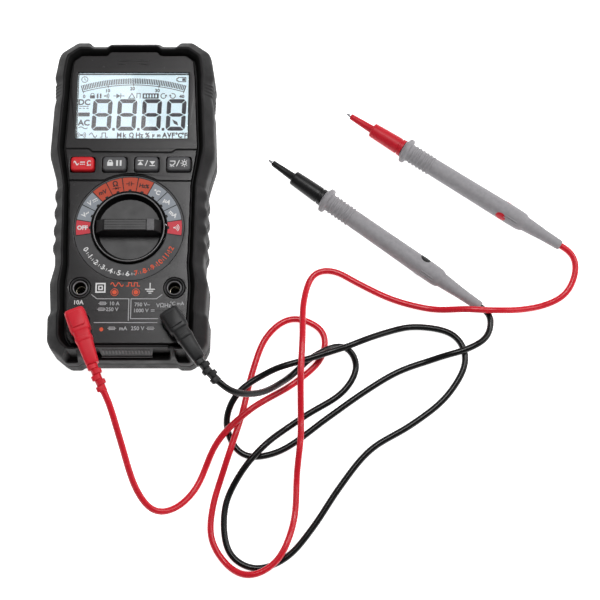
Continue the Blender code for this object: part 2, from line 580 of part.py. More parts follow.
def meet(a, sa, b, sb, same):
    """Plan crossings of two strands: distance along each, and sine of the angle."""
    found = []
    for i in range(len(a) - 1):
        r = a[i + 1] - a[i]
        j0 = i + 12 if same else 0
        q = b[j0:-1]
        if len(q) == 0:
            continue
        v = b[j0 + 1:] - q
        den = r[0] * v[:, 1] - r[1] * v[:, 0]
        den = np.where(np.abs(den) < 1e-12, 1e-12, den)
        w = q - a[i]
        t = (w[:, 0] * v[:, 1] - w[:, 1] * v[:, 0]) / den
        u = (w[:, 0] * r[1] - w[:, 1] * r[0]) / den
        for k in np.where((t >= 0) & (t < 1) & (u >= 0) & (u < 1))[0]:
            sine = abs(den[k]) / (np.linalg.norm(r) * np.linalg.norm(v[k]))
            found.append((sa[i] + t[k] * (sa[i + 1] - sa[i]),
                          sb[j0 + k] + u[k] * (sb[j0 + k + 1] - sb[j0 + k]), sine))
    return sorted(found)


def hermite(t, z0, m0, z1, m1, length):
    t = np.clip(t / length, 0.0, 1.0)
    h = t * t * (3 - 2 * t)
    return z0 * (1 - h) + z1 * h + length * (m0 * t * (1 - t) ** 2 + m1 * t * t * (t - 1))


def lay(s, drop, z_start, z_end):
    """Height of a lead: falls from its plug, lies on the floor, rises to its probe."""
    floor = CORD_R + 0.03
    z = np.full(len(s), floor)
    z = np.where(s < drop, hermite(s, z_start, -0.30, floor, 0.0, drop), z)
    tail = 35.0
    back = s - (s[-1] - tail)
    return np.where(back > 0, hermite(back, floor, 0.0, z_end, 0.03, tail), z)


def stack(strands, crossings):
    """Raise the upper strand at each crossing in a long low hump."""
    base = [z.copy() for _, _, z in strands]
    z = [b.copy() for b in base]
    for _ in range(6):
        lift = [np.zeros(len(b)) for b in base]
        for top, s_top, low, s_low, sine in crossings:
            z_low = np.interp(s_low, strands[low][1], z[low])
            z_own = np.interp(s_top, strands[top][1], base[top])
            need = z_low + 2 * CORD_R + 0.55 - z_own
            if need <= 0:
                continue
            flat = min(1.9 * CORD_R / max(sine, 0.12), 24.0)
            fade = 9.0 + 3.2 * need
            d = np.clip((np.abs(strands[top][1] - s_top) - flat) / fade, 0.0, 1.0)
            lift[top] += (need * 0.5 * (1 + np.cos(np.pi * d))) ** 6
        z = [b + l ** (1.0 / 6.0) for b, l in zip(base, lift)]
    return z


def cord(name, xy, s, z, mat):
    full = np.concatenate([xy, z[:, None]], axis=1)
    run = np.concatenate([[0.0], np.cumsum(np.linalg.norm(np.diff(full, axis=0), axis=1))])
    grid = np.linspace(0.0, run[-1], CORD_POINTS)
    pts = np.stack([np.interp(grid, run, full[:, k]) for k in range(3)], axis=1)
    cu = bpy.data.curves.new(name, 'CURVE')
    cu.dimensions = '3D'
    cu.bevel_depth = CORD_R * MM
    cu.bevel_resolution = 2
    cu.use_fill_caps = True
    cu.twist_mode = 'MINIMUM'
    sp = cu.splines.new('POLY')
    sp.points.add(CORD_POINTS - 1)
    for p, q in zip(sp.points, pts):
        p.co = (q[0] * MM, q[1] * MM, q[2] * MM, 1.0)
    ob = bpy.data.objects.new(name, cu)
    bpy.context.scene.collection.objects.link(ob)
    cu.materials.append(mat)
    return ob, run[-1]


ends = {}
for prefix, sx, angle, bend, ends_xy, mat in (
        ("red", -1, RED_PLUG_ANGLE, RED_PLUG_BEND, RED_PROBE, M_REDLEAD),
        ("black", 1, BLACK_PLUG_ANGLE, BLACK_PLUG_BEND, BLACK_PROBE, M_BLACKLEAD)):
    ends[prefix] = (plug(prefix, sx, angle, bend, mat), probe(prefix, ends_xy, mat))

strands = []
for prefix, route, drop in (("red", RED_ROUTE, RED_DROP), ("black", BLACK_ROUTE, BLACK_DROP)):
    ((qx, qy, qz), qd), ((ex, ey, ez), ed) = ends[prefix]
    start = (qx + 0.8 * qd[0], qy + 0.8 * qd[1])
    finish = (ex + 0.8 * ed[0], ey + 0.8 * ed[1])
    first = (start[0] + 5.5 * qd[0], start[1] + 5.5 * qd[1])
    last = (finish[0] + 6.0 * ed[0], finish[1] + 6.0 * ed[1])
    xy, s = smooth_curve([start, first] + [tuple(map(float, p)) for p in route] + [last, finish])
    strands.append((xy, s, lay(s, drop, qz, ez)))

crossings = []
for (i, j), flags in (((0, 0), OVER_RED_RED), ((0, 1), OVER_RED_BLACK), ((1, 1), OVER_BLACK_BLACK)):
    (a, sa, _), (b, sb, _) = strands[i], strands[j]
    for (s1, s2, sine), f in zip(meet(a, sa, b, sb, i == j), flags):
        crossings.append((i, s1, j, s2, sine) if f == "1" else (j, s2, i, s1, sine))
heights = stack(strands, crossings)
for k, (name, mat) in enumerate((("red_cable", M_REDLEAD), ("black_cable", M_BLACKLEAD))):
    cord(name, strands[k][0], strands[k][1], heights[k], mat)
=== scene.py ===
import math

import bpy
import bmesh
import numpy as np
from mathutils import Matrix, Vector
from mathutils.geometry import tessellate_polygon


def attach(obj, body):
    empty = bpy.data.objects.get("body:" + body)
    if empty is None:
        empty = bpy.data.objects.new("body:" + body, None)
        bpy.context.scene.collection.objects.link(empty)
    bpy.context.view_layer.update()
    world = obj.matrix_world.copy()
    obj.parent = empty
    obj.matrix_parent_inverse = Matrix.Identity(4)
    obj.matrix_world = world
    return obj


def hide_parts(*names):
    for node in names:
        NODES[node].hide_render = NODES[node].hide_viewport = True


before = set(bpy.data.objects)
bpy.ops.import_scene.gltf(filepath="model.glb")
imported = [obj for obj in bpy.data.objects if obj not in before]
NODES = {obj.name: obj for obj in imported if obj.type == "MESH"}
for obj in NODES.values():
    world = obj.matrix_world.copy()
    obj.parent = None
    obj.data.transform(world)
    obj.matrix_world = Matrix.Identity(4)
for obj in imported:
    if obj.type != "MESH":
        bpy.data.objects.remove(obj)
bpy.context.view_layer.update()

MM = 0.001
scene = bpy.context.scene


# =============================================================== materials
def tree(name):
    m = bpy.data.materials.new(name)
    m.use_nodes = True
    return m, m.node_tree, m.node_tree.nodes["Principled BSDF"]


def noise(nt, vec, scale, detail=3.0, rough=0.55, stretch=None):
    n = nt.nodes.new("ShaderNodeTexNoise")
    n.inputs["Scale"].default_value = scale
    n.inputs["Detail"].default_value = detail
    n.inputs["Roughness"].default_value = rough
    if stretch is not None:
        mp = nt.nodes.new("ShaderNodeMapping")
        mp.inputs["Scale"].default_value = stretch
        nt.links.new(vec, mp.inputs["Vector"])
        vec = mp.outputs["Vector"]
    nt.links.new(vec, n.inputs["Vector"])
    return n.outputs["Fac"]


def ramp(nt, fac, stops):
    r = nt.nodes.new("ShaderNodeValToRGB")
    e = r.color_ramp.elements
    e[0].position, e[0].color = stops[0][0], (*stops[0][1], 1.0)
    e[1].position, e[1].color = stops[-1][0], (*stops[-1][1], 1.0)
    for pos, col in stops[1:-1]:
        s = e.new(pos)
        s.color = (*col, 1.0)
    nt.links.new(fac, r.inputs["Fac"])
    return r.outputs["Color"]


def spread(nt, fac, lo, hi, frm=(0.3, 0.7)):
    r = nt.nodes.new("ShaderNodeMapRange")
    r.inputs["From Min"].default_value, r.inputs["From Max"].default_value = frm
    r.inputs["To Min"].default_value, r.inputs["To Max"].default_value = lo, hi
    nt.links.new(fac, r.inputs["Value"])
    return r.outputs["Result"]


def bump(nt, height, strength, distance, normal=None):
    b = nt.nodes.new("ShaderNodeBump")
    b.inputs["Strength"].default_value = strength
    b.inputs["Distance"].default_value = distance
    nt.links.new(height, b.inputs["Height"])
    if normal is not None:
        nt.links.new(normal, b.inputs["Normal"])
    return b.outputs["Normal"]


def srgb(r, g, b):
    f = lambda c: c / 12.92 if c <= 0.04045 else ((c + 0.055) / 1.055) ** 2.4
    return tuple(f(c / 255.0) for c in (r, g, b))


def scale_rgb(c, k):
    return tuple(min(1.0, x * k) for x in c)


def plastic(name, rgb, rough=(0.42, 0.55), grain=2600.0, strength=0.35, depth=0.00003,
            mottle=65.0, vary=0.16, spec=0.5, coat=0.0, coat_rough=0.15, edge_lift=0.0, sss=0.0):
    """Moulded plastic or rubber: faint mottling, spark-eroded grain, lighter sharp convex edges."""
    m, nt, b = tree(name)
    vec = nt.nodes.new("ShaderNodeTexCoord").outputs["Object"]
    fac = noise(nt, vec, mottle, 5.0, 0.6)
    col = ramp(nt, fac, [(0.30, scale_rgb(rgb, 1 - vary)), (0.52, rgb), (0.74, scale_rgb(rgb, 1 + vary))])
    # lighter colour on sharp convex edges, picked out by pointiness
    if edge_lift > 0.0:
        geo = nt.nodes.new("ShaderNodeNewGeometry")
        edge = spread(nt, geo.outputs["Pointiness"], 0.0, edge_lift, (0.52, 0.60))
        mix = nt.nodes.new("ShaderNodeMix")
        mix.data_type = "RGBA"
        nt.links.new(edge, mix.inputs["Factor"])
        nt.links.new(col, mix.inputs["A"])
        light = ramp(nt, fac, [(0.3, scale_rgb(rgb, 2.1)), (0.7, scale_rgb(rgb, 2.7))])
        nt.links.new(light, mix.inputs["B"])
        col = mix.outputs["Result"]
    nt.links.new(col, b.inputs["Base Color"])
    fine = noise(nt, vec, grain, 3.0, 0.6)
    smear = noise(nt, vec, mottle * 2.6, 4.0, 0.55)
    nt.links.new(spread(nt, smear, rough[0], rough[1]), b.inputs["Roughness"])
    nt.links.new(bump(nt, fine, strength, depth), b.inputs["Normal"])
    b.inputs["Specular IOR Level"].default_value = spec
    if coat > 0.0:
        b.inputs["Coat Weight"].default_value = coat
        b.inputs["Coat Roughness"].default_value = coat_rough
    return m


def metal(name, rgb, rough=(0.18, 0.32), stretch=(1.0, 1.0, 1.0), grain=900.0, strength=0.12):
    m, nt, b = tree(name)
    vec = nt.nodes.new("ShaderNodeTexCoord").outputs["Object"]
    fac = noise(nt, vec, grain, 4.0, 0.6, stretch)
    tone = noise(nt, vec, 120.0, 4.0, 0.6)
    nt.links.new(ramp(nt, tone, [(0.3, scale_rgb(rgb, 0.86)), (0.7, scale_rgb(rgb, 1.08))]), b.inputs["Base Color"])
    nt.links.new(spread(nt, fac, rough[0], rough[1]), b.inputs["Roughness"])
    nt.links.new(bump(nt, fac, strength, 0.00001), b.inputs["Normal"])
    b.inputs["Metallic"].default_value = 1.0
    return m


def ink(name, rgb, rough=(0.5, 0.65)):
    """Screen-printed ink: slightly uneven, dry."""
    m, nt, b = tree(name)
    vec = nt.nodes.new("ShaderNodeTexCoord").outputs["Object"]
    fac = noise(nt, vec, 1900.0, 3.0, 0.6)
    nt.links.new(ramp(nt, fac, [(0.3, scale_rgb(rgb, 0.86)), (0.65, rgb)]), b.inputs["Base Color"])
    nt.links.new(spread(nt, fac, rough[0], rough[1]), b.inputs["Roughness"])
    nt.links.new(bump(nt, fac, 0.15, 0.00002), b.inputs["Normal"])
    b.inputs["Specular IOR Level"].default_value = 0.35
    return m


M_BUMPER = plastic("bumper_rubber", srgb(27, 26, 27), (0.46, 0.60), grain=2200, strength=0.45, edge_lift=0.25, spec=0.14)
M_PANEL = plastic("face_plastic", srgb(30, 28, 29), (0.245, 0.275), grain=2800, strength=0.22, spec=0.25)
# black: painted shade in grooves, gaps, hollows, jack wells and screw slots, and the ink of the display's printed
# margin
M_SHADE_AND_PRINT_BLACK = plastic("face_shadow_and_print_black", srgb(10, 10, 10), (0.5, 0.62), grain=2600, spec=0.2)
M_REAR = plastic("rear_plastic", srgb(40, 39, 40), (0.48, 0.62), grain=2000, strength=0.6, edge_lift=0.25)
M_KNOB = plastic("knob_plastic", srgb(26, 25, 26), (0.36, 0.46), grain=3000, strength=0.30, edge_lift=0.2, spec=0.25)
# painted shade: a black copy of the knob plastic for the shaded inner cone of the ring
M_KNOB_PAINTED_SHADE = plastic("knob_shadow", srgb(8, 8, 8), (0.45, 0.6), grain=3000, spec=0.15)
M_KNOB_BAR = plastic("knob_bar", srgb(46, 45, 46), (0.40, 0.50), grain=3000, strength=0.35)
M_KNOB_FACE = plastic("knob_face", srgb(50, 49, 50), (0.42, 0.52), grain=3200, strength=0.35)
M_KNOB_INSERT = plastic("knob_insert", srgb(92, 91, 93), (0.5, 0.6), grain=1500, strength=0.9, vary=0.3, mottle=900)
M_DIAL = plastic("dial_ground", srgb(50, 49, 51), (0.46, 0.56), grain=2600)
M_KEY_GREY = plastic("key_grey", srgb(78, 78, 80), (0.42, 0.54), grain=2400, strength=0.4, edge_lift=0.1, spec=0.3)
M_KEY_RED = plastic("key_red", srgb(204, 24, 34), (0.40, 0.52), grain=2400, strength=0.35, spec=0.3)
M_JACK = plastic("jack_plastic", srgb(58, 58, 59), (0.30, 0.42), grain=2600, spec=0.35)
M_JACK_IN = plastic("jack_liner", srgb(138, 137, 139), (0.36, 0.48), grain=2600)
M_STRIP = plastic("end_strip", srgb(34, 33, 34), (0.42, 0.52), grain=2400, spec=0.3)
# painted highlight: a lighter copy of the strip plastic for the ribs and bead at the jack end
M_STRIP_RIB_HIGHLIGHT = plastic("end_strip_rib_painted_highlight", srgb(64, 63, 64), (0.42, 0.52), grain=2400, spec=0.3)
# painted highlight: a light grey copy of the knob plastic for the crest of the ring
M_KNOB_RIM_HIGHLIGHT = plastic("knob_rim_painted_highlight", srgb(104, 103, 104), (0.30, 0.40), grain=3000)
M_BRASS = metal("plated_brass", (0.72, 0.66, 0.52), (0.16, 0.30), (1, 1, 6))
M_STEEL = metal("steel", (0.60, 0.60, 0.62), (0.2, 0.34), (1, 1, 5))
M_RED_RUBBER = plastic("lead_red", srgb(207, 31, 47), (0.40, 0.50), grain=1700, strength=0.30, vary=0.07, spec=0.3)
M_RED_PVC = plastic("cord_red", srgb(208, 25, 43), (0.22, 0.30), grain=1300, strength=0.16, vary=0.06, spec=0.4)
M_BLACK_RUBBER = plastic("lead_black", srgb(26, 26, 27), (0.38, 0.48), grain=1700, strength=0.35, edge_lift=0.3, spec=0.3)
M_BLACK_PVC = plastic("cord_black", srgb(8, 8, 9), (0.22, 0.32), grain=1300, strength=0.16, spec=0.3)
M_GRIP = plastic("probe_grey", srgb(150, 148, 151), (0.50, 0.62), grain=1500, strength=0.75, vary=0.10, mottle=420, spec=0.3)
M_NOSE_RED = plastic("nose_red", srgb(196, 26, 42), (0.38, 0.48), grain=2100, strength=0.3, vary=0.08, spec=0.3)
M_NOSE_BLACK = plastic("nose_black", srgb(22, 22, 23), (0.36, 0.46), grain=2100, strength=0.3, spec=0.3)
INK_WHITE = ink("ink_white", srgb(226, 226, 226))
INK_SOFT = ink("ink_soft", srgb(178, 178, 180))
INK_ORANGE = ink("ink_orange", srgb(222, 84, 48))
INK_DARK = ink("ink_dark", srgb(40, 22, 20))
INK_BLACK = ink("ink_black", srgb(14, 14, 14))
SECTOR_ORANGE = ink("sector_orange", srgb(184, 60, 24), (0.42, 0.55))
SECTOR_GREY = ink("sector_grey", srgb(140, 146, 154), (0.42, 0.55))
SECTOR_RED = ink("sector_red", srgb(204, 46, 62), (0.42, 0.55))


def lcd_material():
    """Liquid crystal: pale blue glow, the backlight together with painted light in place of the light falling through
    the lens; the tone varies at random.
    """
    m, nt, b = tree("lcd_back")
    vec = nt.nodes.new("ShaderNodeTexCoord").outputs["Object"]
    fac = noise(nt, vec, 38.0, 2.0, 0.5)
    col = ramp(nt, fac, [(0.3, srgb(208, 228, 236)), (0.7, srgb(218, 234, 240))])
    nt.links.new(ramp(nt, fac, [(0.3, (0.10, 0.12, 0.13)), (0.7, (0.12, 0.14, 0.15))]), b.inputs["Base Color"])
    nt.links.new(col, b.inputs["Emission Color"])
    # glow: partly backlight, partly painted light for the light the lens keeps off the display
    b.inputs["Emission Strength"].default_value = 0.98
    fine = noise(nt, vec, 5200.0, 1.0, 0.5)
    nt.links.new(spread(nt, fine, 0.28, 0.36), b.inputs["Roughness"])
    nt.links.new(bump(nt, fine, 0.06, 0.00001), b.inputs["Normal"])
    return m


def lens_material():
    m, nt, b = tree("clear_lens")
    vec = nt.nodes.new("ShaderNodeTexCoord").outputs["Object"]
    fac = noise(nt, vec, 260.0, 4.0, 0.6)
    nt.links.new(spread(nt, fac, 0.015, 0.045), b.inputs["Roughness"])
    nt.links.new(ramp(nt, fac, [(0.3, (0.96, 0.985, 0.99)), (0.7, (0.99, 0.995, 1.0))]), b.inputs["Base Color"])
    b.inputs["Transmission Weight"].default_value = 1.0
    b.inputs["IOR"].default_value = 1.46
    return m


M_LCD = lcd_material()
M_LENS = lens_material()
M_SEG = ink("lcd_segment", srgb(62, 60, 66), (0.4, 0.5))
# painted light: the dark segments glow faintly in place of the light falling on them under the lens
M_SEG.node_tree.nodes["Principled BSDF"].inputs["Emission Color"].default_value = (*srgb(62, 60, 66), 1.0)
M_SEG.node_tree.nodes["Principled BSDF"].inputs["Emission Strength"].default_value = 0.35


# ============================================================ mesh helpers
class Build:
    """Collects pieces of mesh in millimetres and turns them into one object."""

    def __init__(self):
        self.v, self.f, self.mi = [], [], []

    def add(self, geo, mi=0):
        verts, faces = geo
        o = len(self.v)
        self.v.extend(tuple(p) for p in verts)
        self.f.extend(tuple(i + o for i in f) for f in faces)
        self.mi.extend([mi] * len(faces))
        return self

    def done(self, name, mats, body="meter", slot=None, nodes=(), angle=32.0, weighted=False, weld=False):
        me = bpy.data.meshes.new(name)
        bm = bmesh.new()
        vs = [bm.verts.new((p[0] * MM, p[1] * MM, p[2] * MM)) for p in self.v]
        for f, mi in zip(self.f, self.mi):
            if len(set(f)) < 3:
                continue
            try:
                face = bm.faces.new([vs[i] for i in f])
            except ValueError:
                continue
            face.material_index = mi
            face.smooth = True
        if weld:
            bmesh.ops.remove_doubles(bm, verts=bm.verts, dist=1e-6)
        bmesh.ops.recalc_face_normals(bm, faces=bm.faces)
        bm.to_mesh(me)
        bm.free()
        me.set_sharp_from_angle(angle=math.radians(angle))
        ob = bpy.data.objects.new(name, me)
        scene.collection.objects.link(ob)
        for m in (mats if isinstance(mats, (list, tuple)) else [mats]):
            me.materials.append(m)
        if weighted:
            w = ob.modifiers.new("weighted", "WEIGHTED_NORMAL")
            w.keep_sharp = True
        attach(ob, body)
        if nodes:
            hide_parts(*nodes)
        return ob


def loft(loops, ring=False, caps=True):
    """Skin equal-length closed loops; ring joins the last loop to the first."""
    n, rows = len(loops[0]), len(loops)
    verts = [p for lp in loops for p in lp]
    faces = []
    for r in range(rows if ring else rows - 1):
        a, b = r * n, ((r + 1) % rows) * n
        for i in range(n):
            j = (i + 1) % n
            faces.append((a + i, a + j, b + j, b + i))
    if caps and not ring:
        faces.append(tuple(range(n)))
        faces.append(tuple(range((rows - 1) * n, rows * n)))
    return verts, faces


def axes_for(axis):
    axis = Vector(axis).normalized()
    side = axis.cross(Vector((0, 0, 1)))
    if side.length < 1e-6:
        side = Vector((1, 0, 0))
    side.normalize()
    return axis, side, side.cross(axis).normalized()


def lathe(profile, n, base, axis, ring=False):
    """Turn (radius, distance) points about an axis."""
    base = Vector(base)
    axis, side, up = axes_for(axis)
    verts, rows = [], []
    for r, d in profile:
        c = base + axis * d
        if r < 1e-9:
            rows.append([len(verts)])
            verts.append(tuple(c))
        else:
            rows.append(list(range(len(verts), len(verts) + n)))
            for k in range(n):
                a = 2 * math.pi * k / n
                verts.append(tuple(c + side * (r * math.cos(a)) + up * (r * math.sin(a))))
    faces = []
    pairs = list(zip(rows[:-1], rows[1:]))
    if ring:
        pairs.append((rows[-1], rows[0]))
    for a, b in pairs:
        for k in range(n):
            j = (k + 1) % n
            if len(a) == 1 and len(b) == 1:
                continue
            if len(a) == 1:
                faces.append((a[0], b[j], b[k]))
            elif len(b) == 1:
                faces.append((a[k], a[j], b[0]))
            else:
                faces.append((a[k], a[j], b[j], b[k]))
    return verts, faces


def fillet(points, radii, k=4, closed=True):
    """Round the corners of a polyline of n-dimensional points (length from the first two axes)."""
    p = [np.array(q, float) for q in points]
    n = len(p)
    r = radii if isinstance(radii, (list, tuple)) else [radii] * n
    out = []
    for i in range(n):
        if not closed and i in (0, n - 1):
            out.append(p[i])
            continue
        a, b, c = p[i - 1], p[i], p[(i + 1) % n]
        la, lc = np.linalg.norm((a - b)[:2]), np.linalg.norm((c - b)[:2])
        if r[i] <= 1e-9 or la < 1e-9 or lc < 1e-9:
            out.append(b)
            continue
        ta, tc = min(0.45, r[i] / la), min(0.45, r[i] / lc)
        s, e = b + (a - b) * ta, b + (c - b) * tc
        for j in range(k + 1):
            t = j / k
            out.append((1 - t) ** 2 * s + 2 * t * (1 - t) * b + t * t * e)
    return out


def area2(pts):
    return sum(pts[i - 1][0] * pts[i][1] - pts[i][0] * pts[i - 1][1] for i in range(len(pts)))


def turn(pts, ccw=True):
    pts = [(float(p[0]), float(p[1])) for p in pts]
    return pts if (area2(pts) > 0) == ccw else pts[::-1]


def inset(pts, d):
    """Move a loop to its left by d, mitred."""
    out = []
    n = len(pts)
    for i in range(n):
        a, b, c = Vector(pts[i - 1]), Vector(pts[i]), Vector(pts[(i + 1) % n])
        e1, e2 = (b - a), (c - b)
        if e1.length < 1e-9 or e2.length < 1e-9:
            out.append(tuple(b))
            continue
        e1.normalize()
        e2.normalize()
        m = Vector((-e1.y - e2.y, e1.x + e2.x))
        if m.length < 1e-6:
            out.append(tuple(b))
            continue
        m.normalize()
        cosine = max(0.5, m.dot(Vector((-e1.y, e1.x))))
        out.append(tuple(b + m * (d / cosine)))
    return out


def plate(outer, holes, z0, z1, edge=0.25, k=3):
    """Flat plate with holes; the upper edges are rounded."""
    verts, faces, tops, bots = [], [], [], []
    for lp in [turn(outer, True)] + [turn(h, False) for h in holes]:
        rows = [(0.0, z0), (0.0, z1 - edge)]
        rows += [(edge * (1 - math.cos(a)), z1 - edge + edge * math.sin(a))
                 for a in (math.pi / 2 * j / k for j in range(1, k + 1))]
        n, base = len(lp), len(verts)
        for d, z in rows:
            q = inset(lp, d) if d > 0 else lp
            verts.extend((x, y, z) for x, y in q)
        for r in range(len(rows) - 1):
            for i in range(n):
                j = (i + 1) % n
                a, b = base + r * n, base + (r + 1) * n
                faces.append((a + i, a + j, b + j, b + i))
        bots.append(list(range(base, base + n)))
        tops.append(list(range(base + (len(rows) - 1) * n, base + len(rows) * n)))
    low = [i for g in bots for i in g]
    high = [i for g in tops for i in g]
    for t in tessellate_polygon([[Vector(verts[i]) for i in g] for g in bots]):
        faces.append(tuple(low[i] for i in t))
        faces.append(tuple(high[i] for i in t))
    return verts, faces


def poly(pts, z0, z1):
    pts = turn(pts, True)
    n = len(pts)
    verts = [(x, y, z0) for x, y in pts] + [(x, y, z1) for x, y in pts]
    faces = [(i, (i + 1) % n, n + (i + 1) % n, n + i) for i in range(n)]
    for t in tessellate_polygon([[Vector((x, y, 0)) for x, y in pts]]):
        faces.append(tuple(t))
        faces.append(tuple(n + i for i in t))
    return verts, faces


def ribbon(pts, w, z0, z1, closed=False):
    """A drawn line of constant width."""
    p = [Vector((a[0], a[1])) for a in pts]
    n = len(p)
    left, right = [], []
    for i in range(n):
        a = p[i - 1] if (i > 0 or closed) else None
        c = p[(i + 1) % n] if (i < n - 1 or closed) else None
        e = []
        if a is not None:
            e.append((p[i] - a).normalized())
        if c is not None:
            e.append((c - p[i]).normalized())
        d = sum(e, Vector((0, 0)))
        d = d.normalized() if d.length > 1e-6 else e[0]
        m = Vector((-d.y, d.x))
        cosine = max(0.5, m.dot(Vector((-e[0].y, e[0].x))))
        left.append(p[i] + m * (0.5 * w / cosine))
        right.append(p[i] - m * (0.5 * w / cosine))
    verts = []
    for l, r in zip(left, right):
        verts += [(l.x, l.y, z1), (r.x, r.y, z1), (r.x, r.y, z0), (l.x, l.y, z0)]
    faces = []
    for i in range(n if closed else n - 1):
        a, b = 4 * i, 4 * ((i + 1) % n)
        for q in range(4):
            faces.append((a + q, a + (q + 1) % 4, b + (q + 1) % 4, b + q))
    if not closed:
        faces.append((0, 1, 2, 3))
        e = 4 * (n - 1)
        faces.append((e, e + 1, e + 2, e + 3))
    return verts, faces


def arc(cx, cy, r, a0, a1, n=16):
    return [(cx + r * math.cos(math.radians(a0 + (a1 - a0) * k / n)),
             cy + r * math.sin(math.radians(a0 + (a1 - a0) * k / n))) for k in range(n + 1)]


def circle(cx, cy, r, n=40):
    return arc(cx, cy, r, 0, 360 * (n - 1) / n, n - 1)


def rect(x0, y0, x1, y1):
    return [(x0, y0), (x1, y0), (x1, y1), (x0, y1)]


def round_rect(x0, y0, x1, y1, r, k=5):
    return [tuple(q) for q in fillet(rect(x0, y0, x1, y1), r * 1.0, k)]


def glyphs(text, cap, x, y, z0, z1, deg=0.0, bold=0.0, stretch=1.0):
    """Plain lettering as thin solid shapes, cap height in mm, centred on x, y."""
    cu = bpy.data.curves.new("lettering", "FONT")
    cu.body = text
    cu.size = cap / 0.69
    cu.align_x, cu.align_y = "CENTER", "CENTER"
    cu.resolution_u = 3
    cu.offset = bold
    cu.extrude = 0.5 * (z1 - z0)
    ob = bpy.data.objects.new("lettering", cu)
    scene.collection.objects.link(ob)
    bpy.context.view_layer.update()
    me = bpy.data.meshes.new_from_object(ob.evaluated_get(bpy.context.evaluated_depsgraph_get()))
    pts = np.array([v.co for v in me.vertices], float).reshape(-1, 3)
    faces = [tuple(f.vertices) for f in me.polygons]
    bpy.data.objects.remove(ob, do_unlink=True)
    bpy.data.curves.remove(cu)
    bpy.data.meshes.remove(me)
    mid = 0.5 * (pts.min(0) + pts.max(0))
    c, s = math.cos(math.radians(deg)), math.sin(math.radians(deg))
    out = []
    for q in pts:
        a, b = (q[0] - mid[0]) * stretch, q[1] - mid[1]
        out.append((x + c * a - s * b, y + s * a + c * b, 0.5 * (z0 + z1) + q[2]))
    return out, faces


def moved(geo, x, y, deg=0.0, k=1.0):
    verts, faces = geo
    c, s = math.cos(math.radians(deg)) * k, math.sin(math.radians(deg)) * k
    return [(x + c * a - s * b, y + s * a + c * b, z) for a, b, z in verts], faces


# ====================================================== housing outline
HALF_TOP = [
    ((0.0, 92.6), (0.0, 84.8)), ((14.0, 92.6), (13.4, 84.8)), ((16.0, 91.2), (15.2, 82.4)),
    ((24.4, 91.2), (22.5, 82.4)), ((26.2, 93.7), (24.8, 82.4)), ((33.4, 93.7), (29.8, 82.4)),
    ((43.0, 87.2), (33.9, 79.4)), ((44.4, 84.0), (34.5, 76.5)), ((46.4, 71.5), (35.2, 69.0)),
    ((45.4, 68.3), (35.4, 66.0)), ((45.0, 58.8), (35.8, 57.5)), ((46.0, 54.0), (36.0, 53.0)),
    ((46.6, 40.0), (36.7, 39.0)), ((47.2, 26.5), (37.3, 27.6)), ((47.0, 23.5), (36.9, 24.8)),
    ((45.0, 16.8), (35.4, 14.5)), ((43.0, 9.8), (34.3, 7.3)), ((42.5, 6.0), (34.1, 4.6)),
]
HALF_BOTTOM = [
    ((41.5, -36.5), (32.6, -36.5)), ((41.4, -40.5), (32.4, -41.0)), ((43.9, -50.5), (33.4, -52.5)),
    ((43.6, -56.0), (33.4, -56.0)), ((42.8, -67.3), (32.9, -67.3)), ((44.4, -69.8), (32.7, -70.0)),
    ((44.2, -83.0), (32.3, -80.5)), ((42.3, -87.2), (31.5, -83.3)),
]
RIB_TOP, RIB_PITCH, RIB_COUNT = 0.6, 10.2, 4


FOOT = [
    (36.0, -92.4, 29.6, 0.0, 0.0), (35.2, -92.8, 29.1, 0.0, 0.0), (34.6, -93.15, 28.7, 0.0, 1.0), (33.5, -93.7, 28.0, 0.0, 1.0),
    (28.2, -93.7, 26.3, 0.0, 1.0), (27.4, -93.15, 25.9, 0.0, 1.0), (26.8, -92.7, 25.4, 0.0, 0.0), (26.2, -92.3, 24.9, 0.0, 0.0),
    (24.7, -92.3, 24.0, 0.0, 0.0), (23.6, -92.3, 23.0, 1.0, 0.0), (0.0, -92.3, 0.0, 1.0, 0.0),
]


def half_columns():
    """Right half as columns (outer x, y, panel x, y, rib bulge, mouth, pocket)."""
    cols = []
    for (ox, oy), (px, py) in HALF_TOP:
        cols.append([ox * 0.99, oy, px * 0.99, py, 0.0, 0.0, 0.0])
        if (ox, oy) == (45.4, 68.3):
            for k in range(4):                     # small serrations beside the display
                t0 = 0.14 + 0.215 * k
                for t, d in ((t0, 0.0), (t0 + 0.045, 0.62), (t0 + 0.10, 0.62), (t0 + 0.145, 0.0)):
                    cols.append([44.95 - 0.4 * t, 68.3 - 9.5 * t, 35.05 + 0.4 * t, 66.0 - 8.5 * t, d, 0.0, 0.0])
    for k in range(RIB_COUNT):
        y, px = RIB_TOP - k * RIB_PITCH, 33.6 - 0.25 * k
        for d, dy in ((0.0, 3.9), (1.25, 1.7), (1.25, -1.7), (0.0, -3.9)):
            cols.append([41.75, y + dy, px, y + dy, d, 0.0, 0.0])
    for (ox, oy), (px, py) in HALF_BOTTOM:
        cols.append([ox, oy, px, py, 0.0, 0.0, 0.0])
    for ox, oy, px, w, q in FOOT:
        cols.append([ox, oy, px, -86.0, 0.0, w, q])
    return cols


def full_columns():
    right = half_columns()
    left = [[-c[0], c[1], -c[2], c[3], c[4], c[5], c[6]] for c in right[-2:0:-1]]
    return right + left


COLUMNS = full_columns()
ROUND = fillet(COLUMNS, [0.0 if abs(c[0]) < 1e-9 else 1.3 for c in COLUMNS], 3)


def shell(s, z, rib=0.0):
    """Housing outline at height z: s = 0 outermost edge, s = 1 panel edge."""
    out = []
    for ox, oy, px, py, d, w, q in ROUND:
        x = ox + math.copysign(d * rib, ox)
        out.append((x + (px - x) * s, oy + (py - oy) * s, z))
    return out


